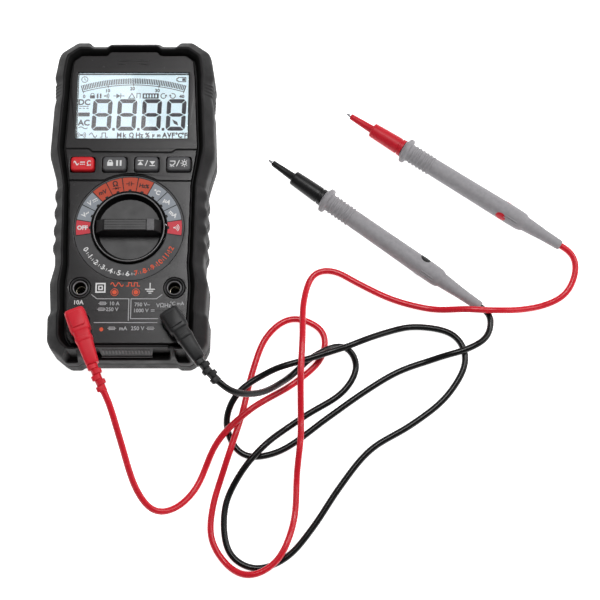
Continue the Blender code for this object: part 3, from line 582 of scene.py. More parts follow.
# -------------------------------------------------------------- rubber bumper
LOW = [(0.63, 6.2), (0.30, 4.8), (0.05, 8.6), (0.0, 12.0), (0.0, 21.4), (0.035, 21.8), (0.035, 22.4), (0.0, 22.8)]
SIDE = LOW + [(0.0, 31.0), (0.02, 38.8), (0.50, 45.6), (0.56, 46.4), (0.66, 46.4), (0.70, 45.7), (0.90, 42.6), (0.63, 42.1)]
MOUTH = LOW + [(0.0, 28.6), (0.0, 30.4), (0.05, 31.0), (0.20, 31.0), (0.44, 31.0), (0.50, 30.6), (0.54, 29.0), (0.63, 28.4)]
POCKET = LOW + [(0.0, 28.6), (0.03, 30.0), (0.50, 30.2), (0.56, 45.9), (0.66, 46.4), (0.70, 45.7), (0.90, 42.6), (0.63, 42.1)]
SIDE_R = [0.2, 0.8, 1.4, 1.2, 0.15, 0.12, 0.12, 0.15, 1.5, 2.2, 0.9, 0.4, 0.35, 0.3, 0.2, 0.2]
W = 9.8


def side_profile(pts):
    q = fillet([(s * W, z) for s, z in pts], SIDE_R, 3)
    return [(a / W, z) for a, z in q]


def bumper():
    main, mouth, pocket = side_profile(SIDE), side_profile(MOUTH), side_profile(POCKET)
    loops = []
    for (s0, z0), (s1, z1), (s2, z2) in zip(main, mouth, pocket):
        rib = max(0.0, 1.0 - s0 / 0.34) * min(1.0, max(0.0, (z0 - 7.0) / 6.0))
        rib = rib * rib * (3 - 2 * rib)
        lp = []
        for ox, oy, px, py, d, w, q in ROUND:
            s = s0 + (s1 - s0) * w + (s2 - s0) * q
            z = z0 + (z1 - z0) * w + (z2 - z0) * q
            x = ox + math.copysign(d * rib, ox)
            lp.append((x + (px - x) * s, oy + (py - oy) * s, z))
        loops.append(lp)
    verts, faces = loft(loops, ring=True)
    n = len(ROUND)
    b = Build().add((verts, faces))
    for r, (s0, z0) in enumerate(main):            # slope behind the crest and floor of the pockets in black: painted shade
        for i in range(n):
            w, q = ROUND[i][5], ROUND[i][6]
            if (s0 > 0.665 and w < 0.5) or (q > 0.9 and ROUND[(i + 1) % n][6] > 0.9 and 0.25 < s0 < 0.6 and z0 > 40):
                b.mi[r * n + i] = 1
    return b.done("bumper_shell", [M_BUMPER, M_SHADE_AND_PRINT_BLACK], slot="bumper", nodes=["bumper_frame"], angle=28)


bumper()

# ---------------------------------------------------------------- face panel
FACE = 45.0
DIAL = (0.0, -20.2)
KEY_X, KEY_Y = (-26.85, -8.95, 8.95, 26.85), 16.6
JACKS = [(-25.8, -54.8), (25.8, -54.8), (-25.8, -73.8), (25.8, -73.8)]
PANEL = [(x, y) for x, y, _ in shell(1.0, 0.0)]


def strip_outline(top_line, low_line):
    """Part of the panel between two lines, each given left to right (None: the panel's own end)."""
    right = PANEL[:1 + min(i for i, p in enumerate(PANEL) if abs(p[0]) < 1e-9 and p[1] < 0)]

    def edge_x(y):
        best = None
        for a, b in zip(right[:-1], right[1:]):
            if (a[1] - y) * (b[1] - y) <= 0 and abs(a[1] - b[1]) > 1e-9:
                t = (y - a[1]) / (b[1] - a[1])
                best = a[0] + (b[0] - a[0]) * t
        return best

    out = []
    top_r = 1e9 if top_line is None else top_line[-1][1]
    low_r = -1e9 if low_line is None else low_line[-1][1]
    top_l = 1e9 if top_line is None else top_line[0][1]
    low_l = -1e9 if low_line is None else low_line[0][1]
    if top_line is not None:
        out.append((edge_x(top_r), top_r))
    out += [p for p in right if low_r < p[1] < top_r]
    if low_line is not None:
        out.append((edge_x(low_r), low_r))
        out += [p for p in reversed(low_line[1:-1])]
        out.append((-edge_x(low_l), low_l))
    left = [(-x, y) for x, y in reversed(right)]
    out += [p for p in left if low_l < p[1] < top_l and abs(p[0]) > 1e-9]
    if top_line is not None:
        out.append((-edge_x(top_l), top_l))
        out += [p for p in top_line[1:-1]]
    return out


def shifted(line, d):
    return [(x, y + d) for x, y in line]


GROOVE_1 = [tuple(q) for q in fillet([(-36.7, 26.2), (-23.9, 26.2), (-21.7, 24.3), (22.8, 23.9), (25.0, 25.7), (37.2, 25.6)], 0.9, 4, closed=False)]
GROOVE_2 = ([(-34.4, 7.4), (-17.4, 7.4)] + arc(*DIAL, 31.35, 118.3, 61.7, 22) + [(17.4, 7.1), (34.3, 7.0)])
GROOVE_2 = [tuple(q) for q in fillet(GROOVE_2, 0.7, 3, closed=False)]


def face_panel():
    b = Build()
    window = round_rect(-31.6, 32.2, 31.6, 72.2, 0.7)
    keys = [round_rect(x - 7.0, KEY_Y - 4.55, x + 7.0, KEY_Y + 4.55, 1.5) for x in KEY_X]
    jacks = [circle(x, y, 5.95, 56) for x, y in JACKS]
    gap = 0.24
    b.add(plate(strip_outline(None, shifted(GROOVE_1, gap)), [window], 44.2, FACE, 0.32), 0)
    b.add(plate(strip_outline(shifted(GROOVE_1, -gap), shifted(GROOVE_2, gap)), keys, 44.2, FACE, 0.32), 0)
    b.add(plate(strip_outline(shifted(GROOVE_2, -gap), None), [circle(*DIAL, 30.55, 96)] + jacks, 44.2, FACE, 0.32), 0)
    # body under the panel, seen in the grooves and round the openings, in black: painted shade
    base = [(x, y) for x, y, _ in shell(1.01, 0.0)]
    wide = round_rect(-31.9, 31.9, 31.9, 72.5, 0.7)
    b.add(plate(base, [wide] + [round_rect(x - 7.05, KEY_Y - 4.6, x + 7.05, KEY_Y + 4.6, 1.5) for x in KEY_X]
                + [circle(*DIAL, 20.9, 96)] + [circle(x, y, 6.25) for x, y in JACKS], 42.7, 44.35, 0.1), 1)
    # walls down to the parting line, in black: painted shade; the jack end shows through the bumper's mouth
    wall = [(1.0, 44.4), (1.0, 42.1), (0.97, 41.7), (0.66, 41.7), (0.66, 22.3), (0.90, 22.3), (0.90, 39.3), (1.0, 42.7)]
    b.add(loft([shell(s, z) for s, z in wall], ring=True), 1)
    ob = b.done("face_panel", [M_PANEL, M_SHADE_AND_PRINT_BLACK], slot="case", nodes=["front_case"], angle=32, weighted=True)
    return ob


face_panel()


def end_wall():
    """Jack end seen through the bumper's mouth: a lip, and a sloping strip with a blank row of short ribs; ribs and
    bead in a lighter grey, a painted highlight.
    """
    b = Build()
    lip = fillet([(-86.75, 42.4), (-86.75, 44.75), (-88.1, 44.3), (-88.35, 43.2), (-87.6, 42.4)], 0.25, 3)
    b.add(loft([[(x, y, z) for y, z in lip] for x in (-22.9, 22.9)]), 0)
    top, low = Vector((-88.1, 43.6)), Vector((-90.7, 34.4))
    down = (low - top).normalized()
    out = Vector((down.y, -down.x))                # away from the housing
    strip = [(0.0, -0.9), (0.0, 0.0), (1.0, 0.0), (1.0, -0.9)]
    half = lambda t: 14.9 - 1.2 * t
    prof = fillet([tuple(top + (low - top) * t + out * h) + (t,) for t, h in strip], [0.1, 0.3, 0.3, 0.1], 3)
    b.add(loft([[(sx * half(t), y, z) for y, z, t in prof] for sx in (-1, 1)]), 1)
    # ribs in the lighter rib grey: painted highlight
    n = 15
    for k in range(n):
        x = -12.4 + 24.8 * k / (n - 1)
        loops = []
        for i, (t, h) in enumerate(((0.22, 0.0), (0.26, 0.35), (0.70, 0.35), (0.74, 0.0))):
            w = 0.55 if 0 < i < 3 else 0.66
            p0, p1 = top + (low - top) * t - out * 0.15, top + (low - top) * t + out * h
            loops.append([(x - w, p0.x, p0.y), (x - w * 0.85, p1.x, p1.y), (x + w * 0.85, p1.x, p1.y), (x + w, p0.x, p0.y)])
        b.add(loft(loops), 2)
    # bead below the ribs, also in the lighter rib grey: painted highlight
    bead = [(math.cos(2 * math.pi * k / 12) * 0.5, math.sin(2 * math.pi * k / 12) * 0.5) for k in range(12)]
    b.add(loft([[(x, -90.9 + a * r, 34.0 + c * r) for a, c in bead]
                for x, r in ((-13.9, 0.3), (-13.75, 0.85), (-13.4, 1.0), (13.4, 1.0), (13.75, 0.85), (13.9, 0.3))]), 2)
    b.done("end_wall", [M_STRIP, M_STRIP, M_STRIP_RIB_HIGHLIGHT], slot="case", angle=30)
    # hollows beside the strip, lined in black: painted shade
    d = Build()
    for sx in (-1, 1):
        d.add(loft([[(sx * x, y, z) for y, z in ((-87.2, 42.6), (-88.05, 42.6), (-88.2, 31.4), (-87.2, 31.4))] for x in (13.5, 22.6)]))
    d.done("end_hollow", M_SHADE_AND_PRINT_BLACK, slot="case", angle=30)


end_wall()

# thin moulded lines above the display
lines = Build()
for x0, x1, y, w in ((-8.6, 8.4, 79.5, 0.42), (-8.6, -4.0, 77.3, 0.3), (3.6, 8.4, 77.3, 0.3)):
    lines.add(plate(round_rect(x0, y - w, x1, y + w, w * 0.8, 3), [], FACE - 0.05, FACE + 0.22, 0.14, 2))
lines.done("face_lines", M_STRIP, slot="case", weighted=True)


# ------------------------------------------------------------------- display
def display():
    Z = 41.9
    Build().add(plate(round_rect(-31.8, 31.6, 31.8, 72.8, 0.6), [], 39.7, Z, 0.1, 2)).done(
        "display_glass", M_LCD, slot="lcd", nodes=["lcd_panel"], weighted=True)
    Build().add(plate(round_rect(-31.4, 32.4, 31.4, 72.0, 0.6), [], 43.1, 44.65, 0.2, 3)).done(
        "display_lens", M_LENS, slot="lens", nodes=["lcd_window"], weighted=True)
    # dark printed margin round the viewing area
    Build().add(plate(rect(-31.75, 31.7, 31.75, 72.7), [round_rect(-31.05, 32.7, 31.05, 71.7, 0.5)], Z + 0.02, Z + 0.25, 0.05, 1)).done(
        "display_mask", M_SHADE_AND_PRINT_BLACK, slot="lcd")
    b = Build()
    z0, z1 = Z - 0.02, Z + 0.08

    def digit(x, y):
        wd, h, t, th, g = 11.0, 19.0, 2.75, 2.35, 0.30
        m = h / 2
        segs = [
            [(1.9, h), (wd - 1.9, h), (wd - 0.75, h - 0.55), (wd - t + 0.1, h - th), (t - 0.1, h - th), (0.75, h - 0.55)],
            [(1.9, 0), (wd - 1.9, 0), (wd - 0.75, 0.55), (wd - t + 0.1, th), (t - 0.1, th), (0.75, 0.55)],
            [(t * 0.42, m), (t + 0.6, m + th * 0.46), (wd - t - 0.6, m + th * 0.46), (wd - t * 0.42, m),
             (wd - t - 0.6, m - th * 0.46), (t + 0.6, m - th * 0.46)],
        ]
        up = [(0.5, h - 0.85), (t - 0.35, h - th - 0.3), (t - 0.35, m + th * 0.40 + g), (t * 0.30, m + g), (0.0, m + g + 0.6), (0.0, h - 2.1)]
        segs.append(up)
        segs.append([(wd - a, c) for a, c in up])
        segs.append([(a, h - c) for a, c in up])
        segs.append([(wd - a, h - c) for a, c in up])
        lean = math.tan(math.radians(2.2))
        for sg in segs:
            b.add(poly([(x + a + (c - m) * lean, y + c) for a, c in sg], z0, z1))

    for x in (-22.9, -8.9, 5.1, 19.0):
        digit(x, 37.9)
    for x in (-10.6, 3.4, 17.3):
        b.add(poly(round_rect(x - 0.75, 37.9, x + 0.75, 39.5, 0.3, 2), z0, z1))
    # arched bar graph
    cy, r0 = -33.9, 99.5
    span = 16.7
    b.add(ribbon(arc(0.0, cy, r0, 90 + span, 90 - span, 40), 0.4, z0, z1))
    for k in range(61):
        a = math.radians(90 + span - 2 * span * k / 60)
        c, s = math.cos(a), math.sin(a)
        r1 = r0 + (0.75 if k % 15 else 0.1)
        b.add(ribbon([(r1 * c, cy + r1 * s), ((r0 + 4.0) * c, cy + (r0 + 4.0) * s)], 0.6, z0, z1))
        if k % 15 == 0:
            b.add(ribbon([((r0 - 0.9) * c, cy + (r0 - 0.9) * s), (r0 * c, cy + r0 * s)], 0.35, z0, z1))
    for text, x, y in (("0", -27.9, 58.6), ("10", -14.4, 62.1), ("20", -0.6, 63.4), ("30", 13.6, 62.2), ("40", 27.5, 58.6)):
        b.add(glyphs(text, 1.9, x, y, z0, z1, bold=0.09))
    # clock
    b.add(ribbon(circle(-27.9, 68.9, 1.75, 28), 0.34, z0, z1, closed=True))
    b.add(ribbon([(-27.9, 70.1), (-27.9, 68.8), (-27.0, 68.4)], 0.3, z0, z1))
    # battery
    b.add(ribbon([(25.2, 67.6), (29.6, 67.6), (29.6, 70.2), (25.2, 70.2), (25.2, 69.6), (24.5, 69.6), (24.5, 68.2), (25.2, 68.2)], 0.42, z0, z1, closed=True))
    b.add(poly(rect(27.6, 68.1, 29.2, 69.7), z0, z1))
    # symbols under the bar graph: padlock, sound waves, diode, difference, filled tag, two loops
    y = 58.9
    b.add(poly(round_rect(-24.6, y - 1.5, -21.8, y + 0.4, 0.25, 2), z0, z1))
    b.add(ribbon([(-24.1, y + 0.3), (-24.1, y + 1.0), (-23.8, y + 1.5), (-22.6, y + 1.5), (-22.3, y + 1.0), (-22.3, y + 0.3)], 0.36, z0, z1))
    b.add(poly(rect(-20.7, y - 1.4, -19.8, y + 1.4), z0, z1))
    b.add(poly(rect(-19.0, y - 1.4, -18.1, y + 1.4), z0, z1))
    for k in range(3):
        b.add(ribbon(arc(-16.2, y, 0.9 + 0.75 * k, -42, 42, 8), 0.36, z0, z1))
    b.add(poly(circle(-16.1, y, 0.45, 12), z0, z1))
    b.add(poly([(-9.6, y + 1.4), (-9.6, y - 1.4), (-7.2, y)], z0, z1))
    b.add(ribbon([(-11.4, y), (-5.0, y)], 0.34, z0, z1))
    b.add(ribbon([(-7.1, y + 1.45), (-7.1, y - 1.45)], 0.4, z0, z1))
    b.add(ribbon([(-2.6, y - 1.4), (0.9, y - 1.4), (-0.85, y + 1.6)], 0.44, z0, z1, closed=True))
    b.add(ribbon([(2.0, y - 1.4), (2.0, y + 1.5), (3.9, y + 1.5), (3.9, y - 1.4)], 0.4, z0, z1))
    b.add(plate(round_rect(5.3, y - 1.6, 14.4, y + 1.55, 0.3, 2), [rect(6.1 + 1.6 * k, y - 0.95, 7.0 + 1.6 * k, y + 0.9) for k in range(5)], z0, z1, 0.01, 1))
    for x, d in ((17.1, 1), (22.4, -1)):
        pts = arc(x, y, 1.45, 60, 350, 20)
        pts = pts if d > 0 else [(2 * x - a, c) for a, c in pts]
        b.add(ribbon(pts, 0.42, z0, z1))
        ex, ey = pts[-1]
        b.add(poly([(ex - 0.75, ey + 0.1), (ex + 0.75, ey + 0.1), (ex + 0.05 * d, ey + 1.25)], z0, z1))
    # left column
    b.add(glyphs("DC", 3.3, -27.6, 55.1, z0, z1, bold=0.14))
    b.add(ribbon([(-30.5, 52.6), (-25.1, 52.6)], 0.38, z0, z1))
    for k in range(3):
        b.add(ribbon([(-30.5 + 2.05 * k, 51.4), (-29.2 + 2.05 * k, 51.4)], 0.42, z0, z1))
    b.add(poly(rect(-30.9, 46.5, -24.4, 48.8), z0, z1))
    b.add(glyphs("AC", 3.3, -27.6, 42.7, z0, z1, bold=0.14))
    wave = [(-30.4 + 5.2 * k / 16, 39.6 + 0.55 * math.sin(2 * math.pi * k / 16)) for k in range(17)]
    b.add(ribbon(wave, 0.42, z0, z1))
    # units along the lower edge
    for k in range(3):
        b.add(ribbon(arc(-28.6, 35.2, 0.8 + 0.8 * k, -45, 45, 8), 0.36, z0, z1))
        b.add(ribbon(arc(-28.6, 35.2, 0.8 + 0.8 * k, 135, 225, 8), 0.36, z0, z1))
    b.add(poly(circle(-28.6, 35.2, 0.45, 12), z0, z1))
    sine = [(-24.2 + 4.4 * k / 20, 35.2 + 1.3 * math.sin(2 * math.pi * k / 20)) for k in range(21)]
    b.add(ribbon(sine, 0.42, z0, z1))
    b.add(ribbon([(-18.2, 34.0), (-17.0, 34.0), (-17.0, 36.5), (-15.0, 36.5), (-15.0, 34.0), (-13.8, 34.0)], 0.42, z0, z1))
    for text, x in (("M", -7.3), ("k", -4.2), ("Ω", -0.4), ("Hz", 4.2), ("%", 8.6), ("µ", 11.9), ("m", 15.0),
                    ("A", 18.3), ("V", 20.9), ("F", 23.2), ("°C", 26.3), ("°F", 29.5)):
        b.add(glyphs(text, 2.75 if text not in ("m", "µ") else 1.95, x, 35.2 if text not in ("m", "µ") else 34.8, z0, z1, bold=0.14,
                     stretch=0.92))
    # small flag in the last digit
    b.add(poly([(22.4, 44.6), (25.2, 43.2), (25.9, 40.9), (23.4, 42.2)], z0, z1))
    b.done("display_segments", M_SEG, slot="lcd")


display()


# ---------------------------------------------------------------------- keys
def key(body, node, x, mat, slot, marks):
    b = Build()
    loops = []
    for d, z in ((-0.30, 41.6), (-0.16, 44.0), (0.0, 46.1), (0.08, 46.55), (0.28, 46.9), (0.58, 47.12), (0.95, 47.2)):
        hx, hy, r = 6.5 - d, 4.1 - d, max(0.8, 2.3 - d)
        loops.append([(x + a, KEY_Y + c, z) for a, c in round_rect(-hx, -hy, hx, hy, r, 6)])
    # slightly dished top
    for k, dz in ((0.72, -0.06), (0.4, -0.12)):
        top = loops[6]
        loops.append([(x + (p[0] - x) * k, KEY_Y + (p[1] - KEY_Y) * k, 47.2 + dz) for p in top])
    b.add(loft(loops))
    b.done(body + "_cap", mat, body=body, slot=slot, nodes=[node], angle=50)
    m = Build()
    z0, z1 = 46.95, 47.17
    yc = KEY_Y + 0.15
    for verts, faces in marks(x, yc, z0, z1):
        m.add(([(x + (a - x) * 1.16, yc + (c - yc) * 1.22, z) for a, c, z in verts], faces))
    m.done(body + "_mark", INK_WHITE, body=body, slot=slot)


def mark_function(x, y, z0, z1):
    wave = [(x - 4.3 + 2.6 * k / 12, y + 0.85 * math.sin(2 * math.pi * k / 12)) for k in range(13)]
    yield ribbon(wave, 0.5, z0, z1)
    yield ribbon([(x - 1.0, y + 0.5), (x + 1.3, y + 0.5)], 0.5, z0, z1)
    for k in range(3):
        yield ribbon([(x - 1.0 + 0.85 * k, y - 0.55), (x - 0.4 + 0.85 * k, y - 0.55)], 0.45, z0, z1)
    yield glyphs("Ω", 2.3, x + 3.4, y, z0, z1, bold=0.06)


def mark_hold(x, y, z0, z1):
    yield poly(round_rect(x - 3.4, y - 1.3, x - 0.6, y + 0.55, 0.25, 2), z0, z1)
    yield ribbon([(x - 2.85, y + 0.4), (x - 2.85, y + 0.95), (x - 2.5, y + 1.4), (x - 1.5, y + 1.4), (x - 1.15, y + 0.95), (x - 1.15, y + 0.4)], 0.42, z0, z1)
    yield poly(rect(x + 0.9, y - 1.3, x + 1.8, y + 1.4), z0, z1)
    yield poly(rect(x + 2.6, y - 1.3, x + 3.5, y + 1.4), z0, z1)


def mark_range(x, y, z0, z1):
    yield poly([(x - 4.3, y - 0.9), (x - 1.5, y - 0.9), (x - 2.9, y + 0.9)], z0, z1)
    yield ribbon([(x - 4.3, y + 1.25), (x - 1.5, y + 1.25)], 0.4, z0, z1)
    yield ribbon([(x - 0.55, y - 1.35), (x + 0.55, y + 1.45)], 0.4, z0, z1)
    yield poly([(x + 1.5, y + 1.0), (x + 4.3, y + 1.0), (x + 2.9, y - 0.8)], z0, z1)
    yield ribbon([(x + 1.5, y - 1.2), (x + 4.3, y - 1.2)], 0.4, z0, z1)


def mark_light(x, y, z0, z1):
    yield ribbon([(x - 4.6, y + 1.0), (x - 1.7, y + 1.0), (x - 1.7, y + 0.1), (x - 2.6, y - 1.0), (x - 3.7, y - 1.0), (x - 4.6, y + 0.1)], 0.42, z0, z1, closed=True)
    for a in (-1, 0, 1):
        yield ribbon([(x - 3.15 + 0.75 * a, y - 1.35), (x - 3.15 + 1.0 * a, y - 1.8)], 0.35, z0, z1)
    yield ribbon([(x - 0.95, y - 1.5), (x + 0.45, y + 1.5)], 0.4, z0, z1)
    yield ribbon(circle(x + 2.9, y, 0.8, 16), 0.42, z0, z1, closed=True)
    for k in range(8):
        a = math.radians(45 * k)
        yield ribbon([(x + 2.9 + 1.25 * math.cos(a), y + 1.25 * math.sin(a)), (x + 2.9 + 1.85 * math.cos(a), y + 1.85 * math.sin(a))], 0.36, z0, z1)


key("key_function", "button_function", KEY_X[0], M_KEY_RED, "red_key", mark_function)
key("key_hold", "button_hold", KEY_X[1], M_KEY_GREY, "grey_key", mark_hold)
key("key_range", "button_range", KEY_X[2], M_KEY_GREY, "grey_key", mark_range)
key("key_light", "button_light", KEY_X[3], M_KEY_GREY, "grey_key", mark_light)

# ---------------------------------------------------------------------- dial
R_IN, R_OUT, PLATE_Z = 21.45, 29.3, 44.62


def polar(r, deg):
    return DIAL[0] + r * math.cos(math.radians(deg)), DIAL[1] + r * math.sin(math.radians(deg))


def dial():
    Build().add(plate(circle(*DIAL, 30.42, 120), [circle(*DIAL, 21.3, 120)], 43.9, PLATE_Z, 0.12, 2)).done(
        "dial_ground", M_DIAL, slot="dial_print", nodes=["dial_plate"], weighted=True)
    z0, z1 = PLATE_Z - 0.03, PLATE_Z + 0.07
    b = Build()
    colour = {180: 2, 162: 1, 144: 1, 126: 0, 108: 0, 90: 0, 72: 0, 54: 1, 36: 1, 18: 1, 0: 2}
    for deg, mi in colour.items():
        half = 8.45
        out, inn = [], []
        for k in range(21):
            a = deg - half + 2 * half * k / 20
            out.append(polar(R_OUT, a))
            near = abs(a - deg) < 2.2
            inn.append(polar(R_IN + (0.85 if near else 0.0), a))
        b.add(poly(out + inn[::-1], z0, z1), mi)
    b.done("dial_sectors", [SECTOR_ORANGE, SECTOR_GREY, SECTOR_RED], slot="dial_print")
    # black ground of the sectors: outline, dividing lines and the notches at the inner edge
    g = Build()
    band = arc(*DIAL, R_OUT + 0.35, -9.6, 189.6, 80) + arc(*DIAL, R_IN - 0.1, 189.6, -9.6, 80)
    g.add(poly(band, PLATE_Z - 0.05, PLATE_Z + 0.03))
    g.done("dial_black", INK_BLACK, slot="dial_print")

    z0, z1 = PLATE_Z + 0.05, PLATE_Z + 0.12
    dark, light = Build(), Build()

    lean = lambda deg: 0.0 if deg in (0, 180) else 0.55 * (deg - 90)

    def put(build, text, cap, deg, r=25.6, bold=0.13):
        x, y = polar(r, deg)
        build.add(glyphs(text, cap, x, y, z0, z1, deg=lean(deg), bold=bold))

    def place(build, geo, deg, r=25.6):
        x, y = polar(r, deg)
        build.add(moved(geo, x, y, lean(deg), 1.1))

    put(light, "OFF", 2.3, 180, 25.7)
    put(light, "V~", 2.4, 162)
    place(light, glyphs("V", 2.4, -1.5, 0, z0, z1, bold=0.05), 144)
    place(light, ribbon([(0.3, 0.55), (2.9, 0.55)], 0.4, z0, z1), 144)
    for k in range(3):
        place(light, ribbon([(0.3 + 0.95 * k, -0.45), (1.0 + 0.95 * k, -0.45)], 0.4, z0, z1), 144)
    put(dark, "mV", 2.3, 126)
    put(dark, "Ω", 2.8, 108, 27.0)
    place(dark, ribbon([(-2.2, 0), (2.2, 0)], 0.32, z0, z1), 108, 24.2)
    place(dark, poly([(-0.7, 0.8), (-0.7, -0.8), (0.7, 0)], z0, z1), 108, 24.2)
    place(dark, ribbon([(0.75, 0.9), (0.75, -0.9)], 0.32, z0, z1), 108, 24.2)
    for s in (-1, 1):
        place(dark, ribbon([(0.55 * s, 1.2), (0.55 * s, -1.2)], 0.42, z0, z1), 90)
        place(dark, ribbon([(0.55 * s, 0), (2.1 * s, 0)], 0.36, z0, z1), 90)
    put(dark, "Hz%", 2.1, 72)
    put(light, "°C", 2.4, 54)
    put(light, "µA", 2.3, 36)
    put(light, "mA", 2.3, 18)
    for k in range(3):
        place(light, ribbon(arc(-0.4, 0, 0.8 + 0.75 * k, -48, 48, 8), 0.36, z0, z1), 0)
    place(light, poly(circle(-0.5, 0, 0.42, 12), z0, z1), 0)
    dark.done("dial_symbols_dark", INK_DARK, slot="dial_print")
    light.done("dial_symbols_light", INK_WHITE, slot="dial_print")

    # plain scale under the selector, white then orange
    z0, z1 = PLATE_Z - 0.03, PLATE_Z + 0.05
    white, orange = Build(), Build()
    first, last, n = 208.0, 332.0, 48
    for k in range(n + 1):
        a = first + (last - first) * k / n
        bld = white if a < 279 else orange
        if k % 4 == 0:
            x, y = polar(26.4, a)
            bld.add(glyphs(str(k // 4), 2.7, x, y, z0, z1, deg=a - 270, bold=0.09))
        else:
            r1 = 27.3 if k % 2 else 27.5
            r0 = 26.0 if k % 2 == 0 else 26.6
            bld.add(ribbon([polar(r0, a), polar(r1, a)], 0.3, z0, z1))
    white.done("dial_scale_white", INK_WHITE, slot="dial_print")
    orange.done("dial_scale_orange", INK_ORANGE, slot="dial_print")


dial()


# -------------------------------------------------------------- selector knob
def knob():
    up = (0, 0, 1)
    b = Build()
    b.add(lathe([(0, 30.4), (4.2, 30.4), (4.2, 38.4), (19.6, 38.4), (20.05, 38.7), (20.2, 39.2), (20.2, 45.55), (20.1, 45.9), (19.85, 46.15)], 120, (*DIAL, 0.0), up), 0)
    # crest of the ring in light grey: painted highlight
    b.add(lathe([(19.85, 46.15), (19.6, 46.22), (19.35, 46.15), (19.2, 45.95)], 120, (*DIAL, 0.0), up), 3)
    # inner cone of the ring in black: painted shade
    b.add(lathe([(19.2, 45.95), (19.05, 45.5)], 120, (*DIAL, 0.0), up), 1)
    b.add(lathe([(19.05, 45.5), (17.5, 41.6), (17.3, 41.35)], 120, (*DIAL, 0.0), up), 1)
    b.add(lathe([(17.3, 41.35), (0, 41.35)], 120, (*DIAL, 0.0), up), 2)
    b.done("selector_ring", [M_KNOB, M_KNOB_PAINTED_SHADE, M_KNOB_FACE, M_KNOB_RIM_HIGHLIGHT], body="selector", slot="knob", nodes=["selector_knob"], angle=40, weld=True)
    # bar grip: a loft across the width, ends sloping down into the dish
    side = [(-18.0, 41.2), (-18.0, 46.3), (-17.4, 47.0), (-14.2, 50.1), (-13.2, 50.6), (14.0, 50.6), (15.0, 50.2), (17.6, 47.2), (18.1, 46.4), (18.1, 41.2)]
    side = fillet(side, [0.1, 0.6, 0.5, 0.6, 0.5, 0.5, 0.6, 0.5, 0.6, 0.1], 3)
    rows = []
    for t, drop in ((-1.0, 0.9), (-0.985, 0.5), (-0.93, 0.15), (-0.84, 0.0), (0.84, 0.0), (0.93, 0.15), (0.985, 0.5), (1.0, 0.9)):
        row = []
        for x, z in side:
            high = (z - 41.2) / 9.4
            half = 4.3 - 0.95 * high
            row.append((DIAL[0] + x, DIAL[1] + half * t, z - drop * max(0.0, (high - 0.45) / 0.55)))
        rows.append(row)
    Build().add(loft(rows)).done("selector_bar", M_KNOB, body="selector", slot="knob", angle=40)
    # flat inlay of four strips, and the grained pointer block
    z = 50.6
    inl = Build()
    for k in range(4):
        y0 = DIAL[1] - 2.9 + 1.46 * k
        inl.add(plate(rect(-12.9, y0, 9.9, y0 + 1.3), [], z - 0.2, z + 0.12, 0.08, 2))
    inl.done("selector_inlay", M_KNOB_BAR, body="selector", slot="knob", weighted=True)
    blk = Build()
    blk.add(plate(round_rect(10.4, DIAL[1] - 3.3, 14.4, DIAL[1] + 3.3, 0.3, 3), [], 48.9, 50.9, 0.2, 3))
    blk.done("selector_pointer", M_KNOB_INSERT, body="selector", slot="knob", weighted=True)


knob()
# black floor of the gap round the knob: painted shade
Build().add(lathe([(20.4, 38.7), (20.4, 39.0), (21.6, 39.0), (21.6, 38.7)], 120, (*DIAL, 0.0), (0, 0, 1), ring=True)).done(
    "selector_gap", M_SHADE_AND_PRINT_BLACK, slot="case", angle=40)

# --------------------------------------------------------------------- jacks
for label, (x, y) in zip(("high_current", "volt_ohm", "low_current", "common"), JACKS):
    b = Build()
    prof = [(3.98, 30.0), (5.6, 30.0), (5.6, 44.7), (5.55, 45.0), (5.4, 45.2), (5.2, 45.25), (5.0, 45.15), (4.88, 44.85), (4.85, 43.0), (3.98, 43.0)]
    b.add(lathe(prof, 64, (x, y, 0), (0, 0, 1), ring=True), 0)
    prof = [(3.98, 30.0), (3.98, 44.7), (3.9, 45.05), (3.72, 45.2), (3.54, 45.1), (3.44, 44.8), (3.42, 43.6)]
    b.add(lathe(prof, 64, (x, y, 0), (0, 0, 1)), 2)
    # inner wall of the well and the groove round the liner in black: painted shade
    b.add(lathe([(3.42, 43.6), (3.4, 43.0), (3.4, 30.0)], 64, (x, y, 0), (0, 0, 1)), 1)
    b.add(lathe([(4.0, 42.9), (4.0, 43.3), (4.83, 43.3), (4.83, 42.9)], 64, (x, y, 0), (0, 0, 1), ring=True), 1)
    b.done("jack_collar_" + label, [M_JACK, M_SHADE_AND_PRINT_BLACK, M_JACK_IN], slot="case", nodes=["jack_housing_" + label], angle=40)
    if y > -60:                                    # open jack: black disc at the foot of the sleeve, painted shade
        Build().add(lathe([(0, 30.3), (2.25, 30.3), (2.25, 30.9), (0, 30.9)], 40, (x, y, 0), (0, 0, 1))).done(
            "jack_floor_" + label, M_SHADE_AND_PRINT_BLACK, slot="case", angle=40)
    s = Build()
    prof = [(3.05, 29.95), (3.05, 37.6), (2.95, 37.85), (2.75, 37.98), (2.5, 37.9), (2.35, 37.6), (2.3, 36.8), (2.3, 29.95)]
    s.add(lathe(prof, 48, (x, y, 0), (0, 0, 1), ring=True))
    s.done("jack_contact_" + label, M_BRASS, slot="brass", nodes=["jack_sleeve_" + label], angle=40)


